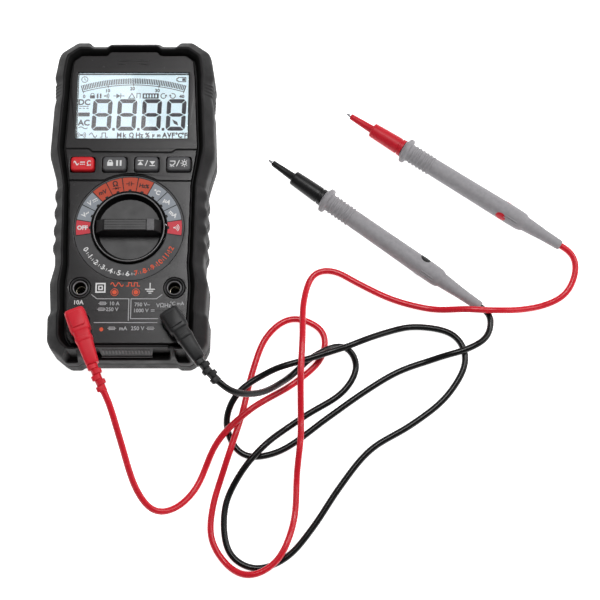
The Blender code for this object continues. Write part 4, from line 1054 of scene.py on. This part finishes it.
# ----------------------------------------------------------- print by the jacks
def face_print():
    z0, z1 = FACE - 0.03, FACE + 0.05
    white, soft, orange = Build(), Build(), Build()
    # nested squares
    white.add(plate(rect(-17.3, -57.6, -11.7, -52.0), [rect(-16.5, -56.8, -12.5, -52.8)], z0, z1, 0.01, 1))
    white.add(plate(rect(-15.8, -56.1, -13.2, -53.5), [rect(-15.1, -55.4, -13.9, -54.2)], z0, z1, 0.01, 1))
    # earth symbol
    ex = 12.6
    for k, hw in enumerate((2.7, 1.75, 0.8)):
        white.add(ribbon([(ex - hw, -55.6 - 1.1 * k), (ex + hw, -55.6 - 1.1 * k)], 0.55, z0, z1))
    white.add(ribbon([(ex, -52.0), (ex, -55.6)], 0.55, z0, z1))
    # waveforms in orange
    wave = [(-9.0 + 7.0 * k / 32, -52.9 + 1.05 * math.sin(4 * math.pi * k / 32)) for k in range(33)]
    orange.add(ribbon(wave, 0.5, z0, z1))
    sq = [(-0.6, -53.8), (0.8, -53.8), (0.8, -51.9), (2.4, -51.9), (2.4, -53.8), (4.0, -53.8), (4.0, -51.9), (5.6, -51.9), (5.6, -53.8), (7.0, -53.8)]
    orange.add(ribbon(sq, 0.5, z0, z1))
    for x in (-6.8, 4.9):
        orange.add(poly(circle(x, -57.3, 1.25, 24), z0, z1))
        orange.add(ribbon(circle(x, -57.3, 1.95, 28), 0.35, z0, z1, closed=True))
    # guide lines from the jacks
    soft.add(ribbon([(-19.3, -58.6), (-16.2, -61.0), (1.2, -61.0), (1.2, -73.4)], 0.42, z0, z1))
    soft.add(ribbon([(19.3, -58.6), (16.2, -61.0), (2.4, -61.0), (2.4, -72.2), (17.5, -72.2)], 0.42, z0, z1))
    soft.add(ribbon([(-17.5, -74.4), (17.0, -74.4)], 0.42, z0, z1))

    def fuse_mark(x, y):
        soft.add(ribbon(rect(x - 1.5, y - 0.7, x + 1.5, y + 0.7), 0.35, z0, z1, closed=True))
        soft.add(ribbon([(x - 2.4, y), (x + 2.4, y)], 0.32, z0, z1))

    white.add(glyphs("10A", 2.35, -26.0, -63.0, z0, z1, bold=0.05))
    fuse_mark(-13.0, -63.6)
    soft.add(glyphs("10 A", 2.0, -6.4, -63.6, z0, z1, bold=0.04))
    soft.add(glyphs("250 V", 2.0, -7.8, -66.9, z0, z1, bold=0.04))
    fuse_mark(-13.6, -66.9)
    soft.add(glyphs("750 V~", 2.0, 8.6, -64.2, z0, z1, bold=0.04))
    soft.add(glyphs("1000 V", 2.0, 8.2, -67.6, z0, z1, bold=0.04))
    soft.add(ribbon([(13.3, -67.2), (15.4, -67.2)], 0.32, z0, z1))
    soft.add(ribbon([(13.3, -68.0), (15.4, -68.0)], 0.32, z0, z1))
    soft.add(glyphs("VΩHz", 2.2, 20.2, -64.6, z0, z1, bold=0.04))
    soft.add(glyphs("°C mA", 1.9, 27.6, -63.6, z0, z1, bold=0.04))
    fuse_mark(-7.6, -77.6)
    soft.add(glyphs("mA", 2.1, -1.4, -77.6, z0, z1, bold=0.04))
    soft.add(glyphs("250 V", 2.1, 6.4, -77.6, z0, z1, bold=0.04))
    fuse_mark(13.4, -77.6)
    orange.add(poly(circle(-13.3, -78.2, 1.1, 20), z0, z1))
    white.done("face_print_white", INK_WHITE, slot="case")
    soft.done("face_print_soft", INK_SOFT, slot="case")
    orange.done("face_print_orange", INK_ORANGE, slot="case")


face_print()

# ================================================================ test leads
CORD_R = 1.85
PLUG_REACH, BOOT = 42.2, 27.0
JACK_X, JACK_Y_LOWER = 25.8, -73.8
RED_PROBE = ((123.0, 61.0), (245.4, -18.4))
BLACK_PROBE = ((77.2, 32.0), (197.9, -55.0))
GUARD_AT, GUARD_R, HEEL_AT, HEEL_R = 40.8, 7.5, 118.0, 5.4
RED_ROUTE = [
    (-2, -138), (6, -163), (15, -173), (25, -171), (36, -160), (48, -134),
    (66, -116), (76, -109), (94, -97), (107, -84), (108, -69), (90, -61),
    (76, -71), (68, -91), (61, -121), (55, -140), (46, -170), (46, -188),
    (58, -204), (68, -207), (82, -199), (91, -178), (93, -149), (95, -131),
    (95, -113), (95, -95), (96, -76), (97, -50), (103, -34), (115, -33),
    (124, -38), (148, -50), (172, -56), (188, -57), (203, -58), (220, -57),
    (247, -47), (254, -30),
]
BLACK_ROUTE = [
    (61, -113), (73, -110), (87, -98), (101, -85), (120, -78), (127, -88),
    (120, -103), (97, -118), (78, -132), (62, -150), (53, -169), (56, -195),
    (70, -203), (87, -197), (102, -180), (116, -159), (134, -137),
    (157, -123), (178, -106), (189, -85), (183, -71), (158, -66), (146, -69),
    (122, -79), (98, -87), (76, -94), (59, -106), (53, -121), (59, -137),
    (66, -141), (83, -138), (110, -119), (131, -104), (151, -92), (175, -84),
    (187, -81), (201, -73), (204, -61),
]
RED_DROP, BLACK_DROP = 100.0, 55.0
OVER_RED_RED, OVER_RED_BLACK, OVER_BLACK_BLACK = "122", "122221111111", "12212"


def smooth_curve(points, per=30):
    """Dense plan curve through the route's points, evenly tensioned."""
    p = np.array(points, float)
    p = np.vstack([2 * p[0] - p[1], p, 2 * p[-1] - p[-2]])
    out = []
    for i in range(1, len(p) - 2):
        a, b, c, d = p[i - 1:i + 3]
        t0 = 0.0
        t1 = t0 + np.linalg.norm(b - a) ** 0.5
        t2 = t1 + np.linalg.norm(c - b) ** 0.5
        t3 = t2 + np.linalg.norm(d - c) ** 0.5
        for k in range(per):
            t = t1 + (t2 - t1) * k / per
            a1 = (t1 - t) / (t1 - t0) * a + (t - t0) / (t1 - t0) * b
            a2 = (t2 - t) / (t2 - t1) * b + (t - t1) / (t2 - t1) * c
            a3 = (t3 - t) / (t3 - t2) * c + (t - t2) / (t3 - t2) * d
            b1 = (t2 - t) / (t2 - t0) * a1 + (t - t0) / (t2 - t0) * a2
            b2 = (t3 - t) / (t3 - t1) * a2 + (t - t1) / (t3 - t1) * a3
            out.append((t2 - t) / (t2 - t1) * b1 + (t - t1) / (t2 - t1) * b2)
    out.append(p[-2])
    out = np.array(out)
    s = np.concatenate([[0.0], np.cumsum(np.hypot(*np.diff(out, axis=0).T))])
    grid = np.linspace(0.0, s[-1], int(round(s[-1])) + 1)
    xy = np.stack([np.interp(grid, s, out[:, k]) for k in (0, 1)], axis=1)
    kern = np.exp(-0.5 * (np.arange(-9, 10) / 4.0) ** 2)
    kern /= kern.sum()
    for k in (0, 1):
        ext = np.concatenate([2 * xy[0, k] - xy[9:0:-1, k], xy[:, k], 2 * xy[-1, k] - xy[-2:-11:-1, k]])
        xy[:, k] = np.convolve(ext, kern, mode="valid")
    s = np.concatenate([[0.0], np.cumsum(np.hypot(*np.diff(xy, axis=0).T))])
    return xy, s


def meet(a, sa, b, sb, same):
    """Plan crossings of two strands: distance along each, and sine of the angle."""
    found = []
    for i in range(len(a) - 1):
        r = a[i + 1] - a[i]
        j0 = i + 12 if same else 0
        q = b[j0:-1]
        if len(q) == 0:
            continue
        v = b[j0 + 1:] - q
        den = r[0] * v[:, 1] - r[1] * v[:, 0]
        den = np.where(np.abs(den) < 1e-12, 1e-12, den)
        w = q - a[i]
        t = (w[:, 0] * v[:, 1] - w[:, 1] * v[:, 0]) / den
        u = (w[:, 0] * r[1] - w[:, 1] * r[0]) / den
        for k in np.where((t >= 0) & (t < 1) & (u >= 0) & (u < 1))[0]:
            sine = abs(den[k]) / (np.linalg.norm(r) * np.linalg.norm(v[k]))
            found.append((sa[i] + t[k] * (sa[i + 1] - sa[i]),
                          sb[j0 + k] + u[k] * (sb[j0 + k + 1] - sb[j0 + k]), sine))
    return sorted(found)


def hermite(t, z0, m0, z1, m1, length):
    t = np.clip(t / length, 0.0, 1.0)
    h = t * t * (3 - 2 * t)
    return z0 * (1 - h) + z1 * h + length * (m0 * t * (1 - t) ** 2 + m1 * t * t * (t - 1))


def lay(s, drop, z_start, z_end):
    """Height of a lead: falls from its plug, lies on the floor, rises to its probe."""
    floor = CORD_R + 0.03
    z = np.full(len(s), floor)
    z = np.where(s < drop, hermite(s, z_start, -0.30, floor, 0.0, drop), z)
    tail = 35.0
    back = s - (s[-1] - tail)
    return np.where(back > 0, hermite(back, floor, 0.0, z_end, 0.03, tail), z)


def stack(strands, crossings):
    """Raise the upper strand at each crossing in a long low hump."""
    base = [z.copy() for _, _, z in strands]
    z = [b.copy() for b in base]
    for _ in range(6):
        lift = [np.zeros(len(b)) for b in base]
        for top, s_top, low, s_low, sine in crossings:
            z_low = np.interp(s_low, strands[low][1], z[low])
            z_own = np.interp(s_top, strands[top][1], base[top])
            need = z_low + 2 * CORD_R + 0.55 - z_own
            if need <= 0:
                continue
            flat = min(1.9 * CORD_R / max(sine, 0.12), 24.0)
            fade = 9.0 + 3.2 * need
            d = np.clip((np.abs(strands[top][1] - s_top) - flat) / fade, 0.0, 1.0)
            lift[top] += (need * 0.5 * (1 + np.cos(np.pi * d))) ** 6
        z = [b + l ** (1.0 / 6.0) for b, l in zip(base, lift)]
    return z


def spine_of(sx, angle, bend):
    """Centre line of a plug, u from the pin axis: point, heading, sideways."""
    base = Vector((sx * JACK_X, JACK_Y_LOWER, 0))

    def spine(u):
        p = base.copy()
        steps = 24
        for k in range(steps):
            m = u * (k + 0.5) / steps
            h = math.radians(angle + bend * max(0.0, (m - BOOT) / (PLUG_REACH - BOOT)))
            p += Vector((math.sin(h), -math.cos(h), 0)) * (u / steps)
        h = math.radians(angle + bend * max(0.0, (u - BOOT) / (PLUG_REACH - BOOT)))
        return p, Vector((math.sin(h), -math.cos(h), 0)), Vector((math.cos(h), math.sin(h), 0))

    return spine


def section(spine, u, hw, zl, zh, m=4.0, n=40, lean=0.0, shift=0.0):
    """Rounded box section across a plug."""
    p, d, w = spine(u)
    zc, hz = 0.5 * (zl + zh), 0.5 * (zh - zl)
    out = []
    for k in range(n):
        a = 2 * math.pi * (k + 0.5) / n
        c, s = math.cos(a), math.sin(a)
        x = hw * math.copysign(abs(c) ** (2.0 / m), c)
        z = hz * math.copysign(abs(s) ** (2.0 / m), s)
        out.append(tuple(p + d * (lean * z) + w * (x + shift) + Vector((0, 0, zc + z))))
    return out


def plug(prefix, sx, angle, bend, mat):
    spine = spine_of(sx, angle, bend)
    b = Build()
    st = [(-5.0, 3.9, 47.9, 54.9), (-4.85, 4.7, 47.1, 55.8), (-4.4, 5.25, 46.7, 56.0), (-3.6, 5.55, 46.45, 56.15), (-2.4, 5.62, 46.4, 56.2),
          (5.9, 5.62, 46.4, 56.3), (6.9, 5.5, 46.5, 56.3), (7.6, 5.25, 46.75, 56.2), (7.95, 4.9, 47.1, 56.0), (8.05, 4.62, 47.3, 56.0),
          (8.4, 4.55, 47.35, 55.9), (11.3, 4.5, 47.4, 55.75), (11.45, 4.75, 47.2, 56.0), (11.8, 4.85, 47.1, 56.05), (13.3, 4.8, 47.15, 55.9),
          (13.6, 4.68, 47.25, 55.75), (13.75, 4.42, 47.4, 55.5), (20.0, 4.0, 47.6, 54.95), (25.9, 3.55, 47.8, 54.45), (26.6, 3.35, 47.95, 54.2),
          (26.9, 2.9, 48.3, 53.8)]
    b.add(loft([section(spine, u, hw, zl, zh, 5.0 if u < 9 else 4.2) for u, hw, zl, zh in st]))
    # raised thumb pad on the head, with a shallow moat round it
    pad = []
    for k, (d, dz) in enumerate(((0.0, -1.1), (0.0, 0.0), (0.12, 0.2), (0.4, 0.28))):
        lp = []
        for a, c in round_rect(-3.1 + d, -3.75 + d, 5.5 - d, 3.75 - d, 1.4 - d * 0.5, 5):
            p, dd, w = spine(a)
            lp.append(tuple(p + w * c + Vector((0, 0, 56.86 + 0.028 * a * 0.6 + dz - 0.012 * c * c))))
        pad.append(lp)
    b.add(loft(pad))
    # collar round the pin
    b.add(lathe([(0, 38.4), (2.6, 38.4), (3.0, 38.8), (3.05, 39.2), (3.05, 47.2), (0, 47.2)], 40, (sx * JACK_X, JACK_Y_LOWER, 0), (0, 0, 1)))
    b.done(prefix + "_plug_body", mat, slot=prefix + "_lead", nodes=[prefix + "_plug"], angle=38)
    # strain relief: staggered blocks on a core
    r = Build()
    core, u0, u1 = [], 26.7, PLUG_REACH
    zmid = lambda u: 51.05 - 2.75 * max(0.0, (u - 27.0) / 15.2) ** 1.6
    for k in range(15):
        u = u0 + (u1 - u0) * k / 14
        hw = 2.35 - 0.25 * k / 14
        core.append(section(spine, u, hw, zmid(u) - hw, zmid(u) + hw, 2.3, 28, lean=0.34 * k / 14))
    r.add(loft(core))
    n = 5
    pitch = (u1 - u0 - 0.6) / n
    for k in range(n):
        ua = u0 + 0.25 + pitch * k
        ub = ua + pitch * 0.92
        hw = 2.7 - 0.3 * k / (n - 1)
        hz = 2.95 - 0.45 * k / (n - 1)
        shift = 0.75 * (1 if k % 2 else -1)
        rows = []
        for t, sc in ((0.0, 0.80), (0.05, 0.92), (0.14, 1.0), (0.86, 1.0), (0.95, 0.92), (1.0, 0.80)):
            u = ua + (ub - ua) * t
            rows.append(section(spine, u, hw * sc, zmid(u) - hz * sc, zmid(u) + hz * sc, 3.6, 32, lean=0.34 * (u - u0) / (u1 - u0), shift=shift))
        r.add(loft(rows))
    relief = r.done(prefix + "_plug_relief", mat, slot=prefix + "_lead", angle=38)
    end, d, _ = spine(PLUG_REACH)
    return relief, (end.x, end.y, 48.3), (d.x, d.y)


def probe(prefix, ends, mat_nose, mat_spot):
    (tx, ty), (ex, ey) = ends
    length = math.hypot(ex - tx, ey - ty)
    slope = (HEEL_R - GUARD_R) / (HEEL_AT - GUARD_AT)
    z_at = lambda u: GUARD_R + 0.06 + slope * (u - GUARD_AT)
    tip, end = Vector((tx, ty, z_at(0))), Vector((ex, ey, z_at(length)))
    ax = end - tip
    Build().add(lathe([(0, -1.3), (0.22, -1.25), (0.5, -0.8), (0.8, 0.3), (0.95, 1.2), (1.0, 1.9), (1.0, 12.4), (0, 12.4)], 32, tip, ax)).done(
        prefix + "_needle", M_STEEL, slot="steel", nodes=[prefix + "_probe_needle"], angle=40)
    nose = [(0, 13.0), (1.3, 13.0), (1.3, 2.0), (1.45, 1.85), (1.62, 1.9), (1.72, 2.3), (2.05, 9.4), (2.38, 16.3), (2.55, 16.6), (3.3, 16.7),
            (3.95, 16.95), (4.22, 17.35), (4.32, 17.9), (4.6, 26.0), (4.86, 34.9), (4.84, 35.2), (4.45, 35.4), (4.45, 35.95), (4.86, 36.15),
            (4.96, 36.5), (5.0, 38.1), (0, 38.1)]
    Build().add(lathe(nose, 56, tip, ax)).done(prefix + "_nose", mat_nose, slot=prefix + "_lead", nodes=[prefix + "_probe_nose"], angle=35)
    prof = [(0, 38.4), (5.05, 38.4), (5.25, 38.5), (5.35, 38.9), (5.8, 39.2), (6.6, 39.35), (7.2, 39.6), (7.45, 40.0), (7.5, 40.5), (7.5, 41.2), (7.42, 41.7), (7.1, 42.1),
            (6.5, 42.35), (5.8, 42.5), (5.4, 42.8), (5.25, 43.6)]
    for k in range(6):                              # finger ribs behind the guard
        u = 44.6 + 2.4 * k
        base, top = 5.06, 5.62
        prof += [(base, u), (top - 0.05, u + 0.35), (top, u + 0.8), (top - 0.05, u + 1.25), (base, u + 1.6)]
    prof += [(5.22, 60.4), (5.26, 72.0), (5.36, 84.0), (5.48, 96.0), (5.58, 106.0), (5.6, 112.0), (5.55, 117.0), (5.4, 119.2), (5.05, 120.6), (4.6, 121.4),
             (4.3, 122.0), (4.15, 124.9)]
    prof += [(3.4, 134.0), (2.9, length - 1.2), (2.72, length - 0.5), (2.4, length - 0.05), (0, length - 0.05)]
    g = Build()
    g.add(lathe(prof, 64, tip, ax))
    g.done(prefix + "_grip", M_GRIP, slot="probe_grip", nodes=[prefix + "_probe_handle"], angle=40)
    axis, side, up = axes_for(ax)
    # oval colour spots let into the grip, one each side
    s = Build()
    for spot_at in ((24, 180) if prefix == "red" else (138, 318)):
        u0 = 107.6
        out = []
        for ring, lift in ((1.0, -0.12), (0.94, 0.06), (0.75, 0.12), (0.4, 0.14)):
            lp = []
            for k in range(36):
                a = 2 * math.pi * k / 36
                du, dv = 3.2 * ring * math.cos(a), 2.9 * ring * math.sin(a)
                r = 5.60 + lift
                ang = math.radians(spot_at) + dv / r
                lp.append(tuple(tip + axis * (u0 + du) + side * (r * math.cos(ang)) + up * (r * math.sin(ang))))
            out.append(lp)
        s.add(loft(out))
    s.done(prefix + "_spots", mat_spot, slot=prefix + "_lead", angle=40)
    # short moulded ribs on the heel
    h = Build()
    for deg in (38, 52):
        ang = math.radians(deg)
        rows = []
        for t, w in ((0.0, 0.1), (0.06, 0.34), (0.94, 0.34), (1.0, 0.1)):
            u = 109.0 + 9.0 * t
            r = 5.60
            cc = Vector(tip) + axis * u
            lp = []
            for q in range(8):
                aa = 2 * math.pi * q / 8
                da = ang + 0.34 * w * math.cos(aa) * 2.2 / r
                rr = r + 0.34 * math.sin(aa) * (w / 0.34)
                lp.append(tuple(cc + side * (rr * math.cos(da)) + up * (rr * math.sin(da))))
            rows.append(lp)
        h.add(loft(rows))
    h.done(prefix + "_heel_ribs", M_GRIP, slot="probe_grip", angle=40)
    return tuple(end), ((ex - tx) / length, (ey - ty) / length)


LEADS = (("red", -1, 20.4, 5.0, RED_PROBE, RED_ROUTE, RED_DROP, M_RED_RUBBER, M_RED_PVC, M_NOSE_RED),
         ("black", 1, 33.6, 16.0, BLACK_PROBE, BLACK_ROUTE, BLACK_DROP, M_BLACK_RUBBER, M_BLACK_PVC, M_NOSE_BLACK))
strands, reliefs = [], []
for prefix, sx, angle, bend, ends_xy, route, drop, rubber, pvc, nose_mat in LEADS:
    relief, (qx, qy, qz), qd = plug(prefix, sx, angle, bend, rubber)
    (ex, ey, ez), ed = probe(prefix, ends_xy, nose_mat, nose_mat)
    start = (qx + 0.8 * qd[0], qy + 0.8 * qd[1])
    finish = (ex + 0.8 * ed[0], ey + 0.8 * ed[1])
    first = (start[0] + 5.5 * qd[0], start[1] + 5.5 * qd[1])
    last = (finish[0] + 6.0 * ed[0], finish[1] + 6.0 * ed[1])
    xy, s = smooth_curve([start, first] + [tuple(map(float, p)) for p in route] + [last, finish])
    strands.append((xy, s, lay(s, drop, qz, ez)))
    reliefs.append((relief, qd, ed))

crossings = []
for (i, j), flags in (((0, 0), OVER_RED_RED), ((0, 1), OVER_RED_BLACK), ((1, 1), OVER_BLACK_BLACK)):
    (a, sa, _), (b, sb, _) = strands[i], strands[j]
    for (s1, s2, sine), f in zip(meet(a, sa, b, sb, i == j), flags):
        crossings.append((i, s1, j, s2, sine) if f == "1" else (j, s2, i, s1, sine))
heights = stack(strands, crossings)

for k, (prefix, sx, angle, bend, ends_xy, route, drop, rubber, pvc, nose_mat) in enumerate(LEADS):
    xy, s, _ = strands[k]
    relief, qd, ed = reliefs[k]
    full = np.concatenate([xy, heights[k][:, None]], axis=1)
    # run on a little way inside the strain relief and the grip
    head = full[0] - np.array([qd[0], qd[1], -0.30]) * 3.0
    tail = full[-1] - np.array([ed[0], ed[1], 0.03]) * 3.0
    full = np.vstack([head, full, tail])
    run = np.concatenate([[0.0], np.cumsum(np.linalg.norm(np.diff(full, axis=0), axis=1))])
    grid = np.linspace(0.0, run[-1], 520)
    pts = np.stack([np.interp(grid, run, full[:, q]) for q in range(3)], axis=1)
    cu = bpy.data.curves.new(prefix + "_cord", "CURVE")
    cu.dimensions = "3D"
    cu.bevel_depth = CORD_R * MM
    cu.bevel_resolution = 5
    cu.use_fill_caps = True
    cu.twist_mode = "MINIMUM"
    sp = cu.splines.new("POLY")
    sp.points.add(len(pts) - 1)
    for p, q in zip(sp.points, pts):
        p.co = (q[0] * MM, q[1] * MM, q[2] * MM, 1.0)
    sp.use_smooth = True
    ob = bpy.data.objects.new(prefix + "_cord", cu)
    scene.collection.objects.link(ob)
    cu.materials.append(pvc)
    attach(ob, "meter")
    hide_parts(prefix + "_cable")

# ============================================================= carried nodes
def dress(material, *names):
    for n in names:
        me = NODES[n].data
        me.materials.clear()
        me.materials.append(material)


M_WHITE = plastic("white_plastic", srgb(226, 226, 222), (0.4, 0.55), vary=0.05)
M_PCB = plastic("circuit_board", srgb(32, 92, 56), (0.35, 0.5), grain=1200, mottle=300, vary=0.3)
M_CHIP = plastic("chip", srgb(30, 30, 32), (0.4, 0.5))
M_ELASTOMER = plastic("elastomer", srgb(120, 118, 116), (0.5, 0.65))
M_CERAMIC = plastic("fuse_ceramic", srgb(226, 220, 206), (0.3, 0.45), vary=0.06)
M_CELL = plastic("cell_sleeve", srgb(46, 96, 160), (0.28, 0.4), vary=0.08)
dress(M_REAR, "rear_case", "battery_door", "tilt_stand")
dress(M_STEEL, "battery_door_screw", "case_screw_1", "case_screw_2", "case_screw_3", "case_screw_4", "stand_pin",
      "detent_spring", "fuse_holder_high", "fuse_holder_low", "battery_contact_left", "battery_contact_right")
dress(M_BRASS, "red_plug_pin", "black_plug_pin", "wiper_contacts", "shunt_bar")
dress(M_WHITE, "lcd_frame", "backlight_panel", "selector_rotor")
dress(M_PCB, "main_pcb")
dress(M_CHIP, "main_ic", "buzzer")
dress(M_ELASTOMER, "zebra_strip", "keypad_membrane")
dress(M_CERAMIC, "fuse_high", "fuse_low")
dress(M_CELL, "battery_upper", "battery_lower")
dress(M_LENS, "torch_led")


def soften(node, width, segments=2, angle=30.0):
    ob = NODES[node]
    w = ob.modifiers.new("weld", "WELD")
    w.merge_threshold = 0.000002
    m = ob.modifiers.new("bevel", "BEVEL")
    m.width = width * MM
    m.segments = segments
    m.limit_method = "ANGLE"
    m.angle_limit = math.radians(angle)
    ob.data.shade_smooth()
    n = ob.modifiers.new("weighted", "WEIGHTED_NORMAL")
    n.mode, n.weight = "FACE_AREA", 100


for n, w in (("rear_case", 0.3), ("battery_door", 0.3), ("tilt_stand", 0.35)):
    soften(n, w)

# ------------------------------------------------------------ details of the back
def under(outline, holes, z0, z1, edge):
    """Plate with its rounded edge facing down."""
    verts, faces = plate(outline, holes, -z1, -z0, edge, 2)
    return [(x, y, -z) for x, y, z in verts], faces


def back_details():
    st = Build()
    for k in range(6):                              # finger ribs at the free end of the stand
        y = -3.4 + 2.1 * k
        st.add(under(round_rect(-11.5, y - 0.5, 11.5, y + 0.5, 0.45, 3), [], 0.08, 0.5, 0.2))
    st.add(under(round_rect(-20.8, 13.0, 20.8, 62.0, 3.0, 5), [round_rect(-19.6, 14.2, 19.6, 60.8, 2.2, 5)], 0.12, 0.5, 0.18))
    st.done("stand_ribs", M_REAR, body="stand", slot="case", weighted=True)
    d = Build()
    for k in range(5):                              # push ribs on the battery door
        y = -21.5 + 1.7 * k
        d.add(under(round_rect(-9.0, y - 0.4, 9.0, y + 0.4, 0.35, 3), [], 0.06, 0.4, 0.14))
    d.add(under(round_rect(-26.6, -53.2, 26.6, -15.8, 2.0, 5), [round_rect(-25.8, -52.4, 25.8, -16.6, 1.5, 5)], 0.1, 0.4, 0.12))
    # outlines of two cells with their poles
    for y in (-32.0, -42.0):
        s = 1 if y > -40 else -1
        d.add(under(round_rect(-17.0, y - 3.2, 17.0, y + 3.2, 0.8, 4), [round_rect(-16.4, y - 2.6, 16.4, y + 2.6, 0.5, 4)], 0.1, 0.4, 0.1))
        d.add(under(rect(s * 17.0 - 0.6, y - 1.2, s * 17.0 + 0.9, y + 1.2), [], 0.1, 0.4, 0.1))
        d.add(under(rect(s * 12.5 - 1.4, y - 0.3, s * 12.5 + 1.4, y + 0.3), [], 0.1, 0.4, 0.1))
        d.add(under(rect(s * 12.5 - 0.3, y - 1.4, s * 12.5 + 0.3, y + 1.4), [], 0.1, 0.4, 0.1))
        d.add(under(rect(-s * 12.5 - 1.4, y - 0.3, -s * 12.5 + 1.4, y + 0.3), [], 0.1, 0.4, 0.1))
    d.done("door_ribs", M_REAR, slot="case", weighted=True)
    # screw slots as thin black crosses: painted shade
    c = Build()
    for x, y, z, r in ((0.0, -52.6, 0.3, 1.6), (-26.0, 78.4, 5.6, 1.7), (26.0, 78.4, 5.6, 1.7), (-14.0, -82.4, 5.6, 1.7), (14.0, -82.4, 5.6, 1.7)):
        c.add(poly(rect(x - r, y - 0.28, x + r, y + 0.28), z - 0.05, z + 0.1))
        c.add(poly(rect(x - 0.28, y - r, x + 0.28, y + r), z - 0.055, z + 0.1))
    c.done("screw_slots", M_SHADE_AND_PRINT_BLACK, slot="steel")


back_details()

# ================================================================ stage
def floor():
    me = bpy.data.meshes.new("floor")
    me.from_pydata([(-3, -3, -0.00015), (3, -3, -0.00015), (3, 3, -0.00015), (-3, 3, -0.00015)], [], [(0, 1, 2, 3)])
    ob = bpy.data.objects.new("floor", me)
    scene.collection.objects.link(ob)
    m, nt, b = tree("floor_paper")
    vec = nt.nodes.new("ShaderNodeTexCoord").outputs["Object"]
    fac = noise(nt, vec, 900.0, 3.0, 0.5)
    nt.links.new(ramp(nt, fac, [(0.3, (0.93, 0.93, 0.93)), (0.7, (0.96, 0.96, 0.96))]), b.inputs["Base Color"])
    nt.links.new(spread(nt, fac, 0.85, 0.95), b.inputs["Roughness"])
    b.inputs["Specular IOR Level"].default_value = 0.1
    b.inputs["Emission Color"].default_value = (1.0, 1.0, 1.0, 1.0)
    b.inputs["Emission Strength"].default_value = 0.95
    me.materials.append(m)


floor()

world = bpy.data.worlds.new("studio")
scene.world = world
world.use_nodes = True
bg = world.node_tree.nodes["Background"]
bg.inputs["Strength"].default_value = 1.0
sky = world.node_tree.nodes.new("ShaderNodeTexCoord").outputs["Generated"]
split = world.node_tree.nodes.new("ShaderNodeSeparateXYZ")
world.node_tree.links.new(sky, split.inputs["Vector"])
height = spread(world.node_tree, split.outputs["Z"], 0.0, 1.0, (-1.0, 1.0))
world.node_tree.links.new(ramp(world.node_tree, height, [(0.5, (0.72, 0.72, 0.72)), (0.62, (0.5, 0.5, 0.5)), (0.80, (0.16, 0.16, 0.16)),
                                                         (1.0, (0.11, 0.11, 0.11))]), bg.inputs["Color"])


def area(name, loc, aim, size, power, spread_deg=180.0, colour=(1, 1, 1)):
    la = bpy.data.lights.new(name, "AREA")
    la.shape = "RECTANGLE"
    la.size, la.size_y = size
    la.energy = power
    la.color = colour
    la.spread = math.radians(spread_deg)
    ob = bpy.data.objects.new(name, la)
    ob.location = loc
    ob.rotation_euler = (Vector(aim) - Vector(loc)).to_track_quat("-Z", "Y").to_euler()
    scene.collection.objects.link(ob)
    return ob


area("overhead", (0.15, 0.36, 1.28), (0.05, 0.0, 0.0), (0.42, 0.42), 8.5)
area("right", (1.05, 0.30, 0.95), (0.04, 0.0, 0.03), (0.6, 0.8), 7.0)
area("left", (-1.0, 0.35, 0.9), (0.0, 0.0, 0.03), (0.6, 0.8), 0.9)
area("window", (-0.20, 0.56, 1.295), (-0.01, 0.052, 0.045), (0.13, 0.19), 0.15)

cam_data = bpy.data.cameras.new("camera")
cam_data.lens = 92.4
cam_data.sensor_width = 36.0
cam_data.clip_start, cam_data.clip_end = 0.01, 20.0
cam = bpy.data.objects.new("camera", cam_data)
cam.location = (0.0946, -0.2792, 0.8568)
cam.rotation_euler = (math.radians(15.0), 0.0, 0.0)
scene.collection.objects.link(cam)
scene.camera = cam
scene.view_settings.view_transform = "Standard"
scene.view_settings.look = "None"

bpy.context.view_layer.update()
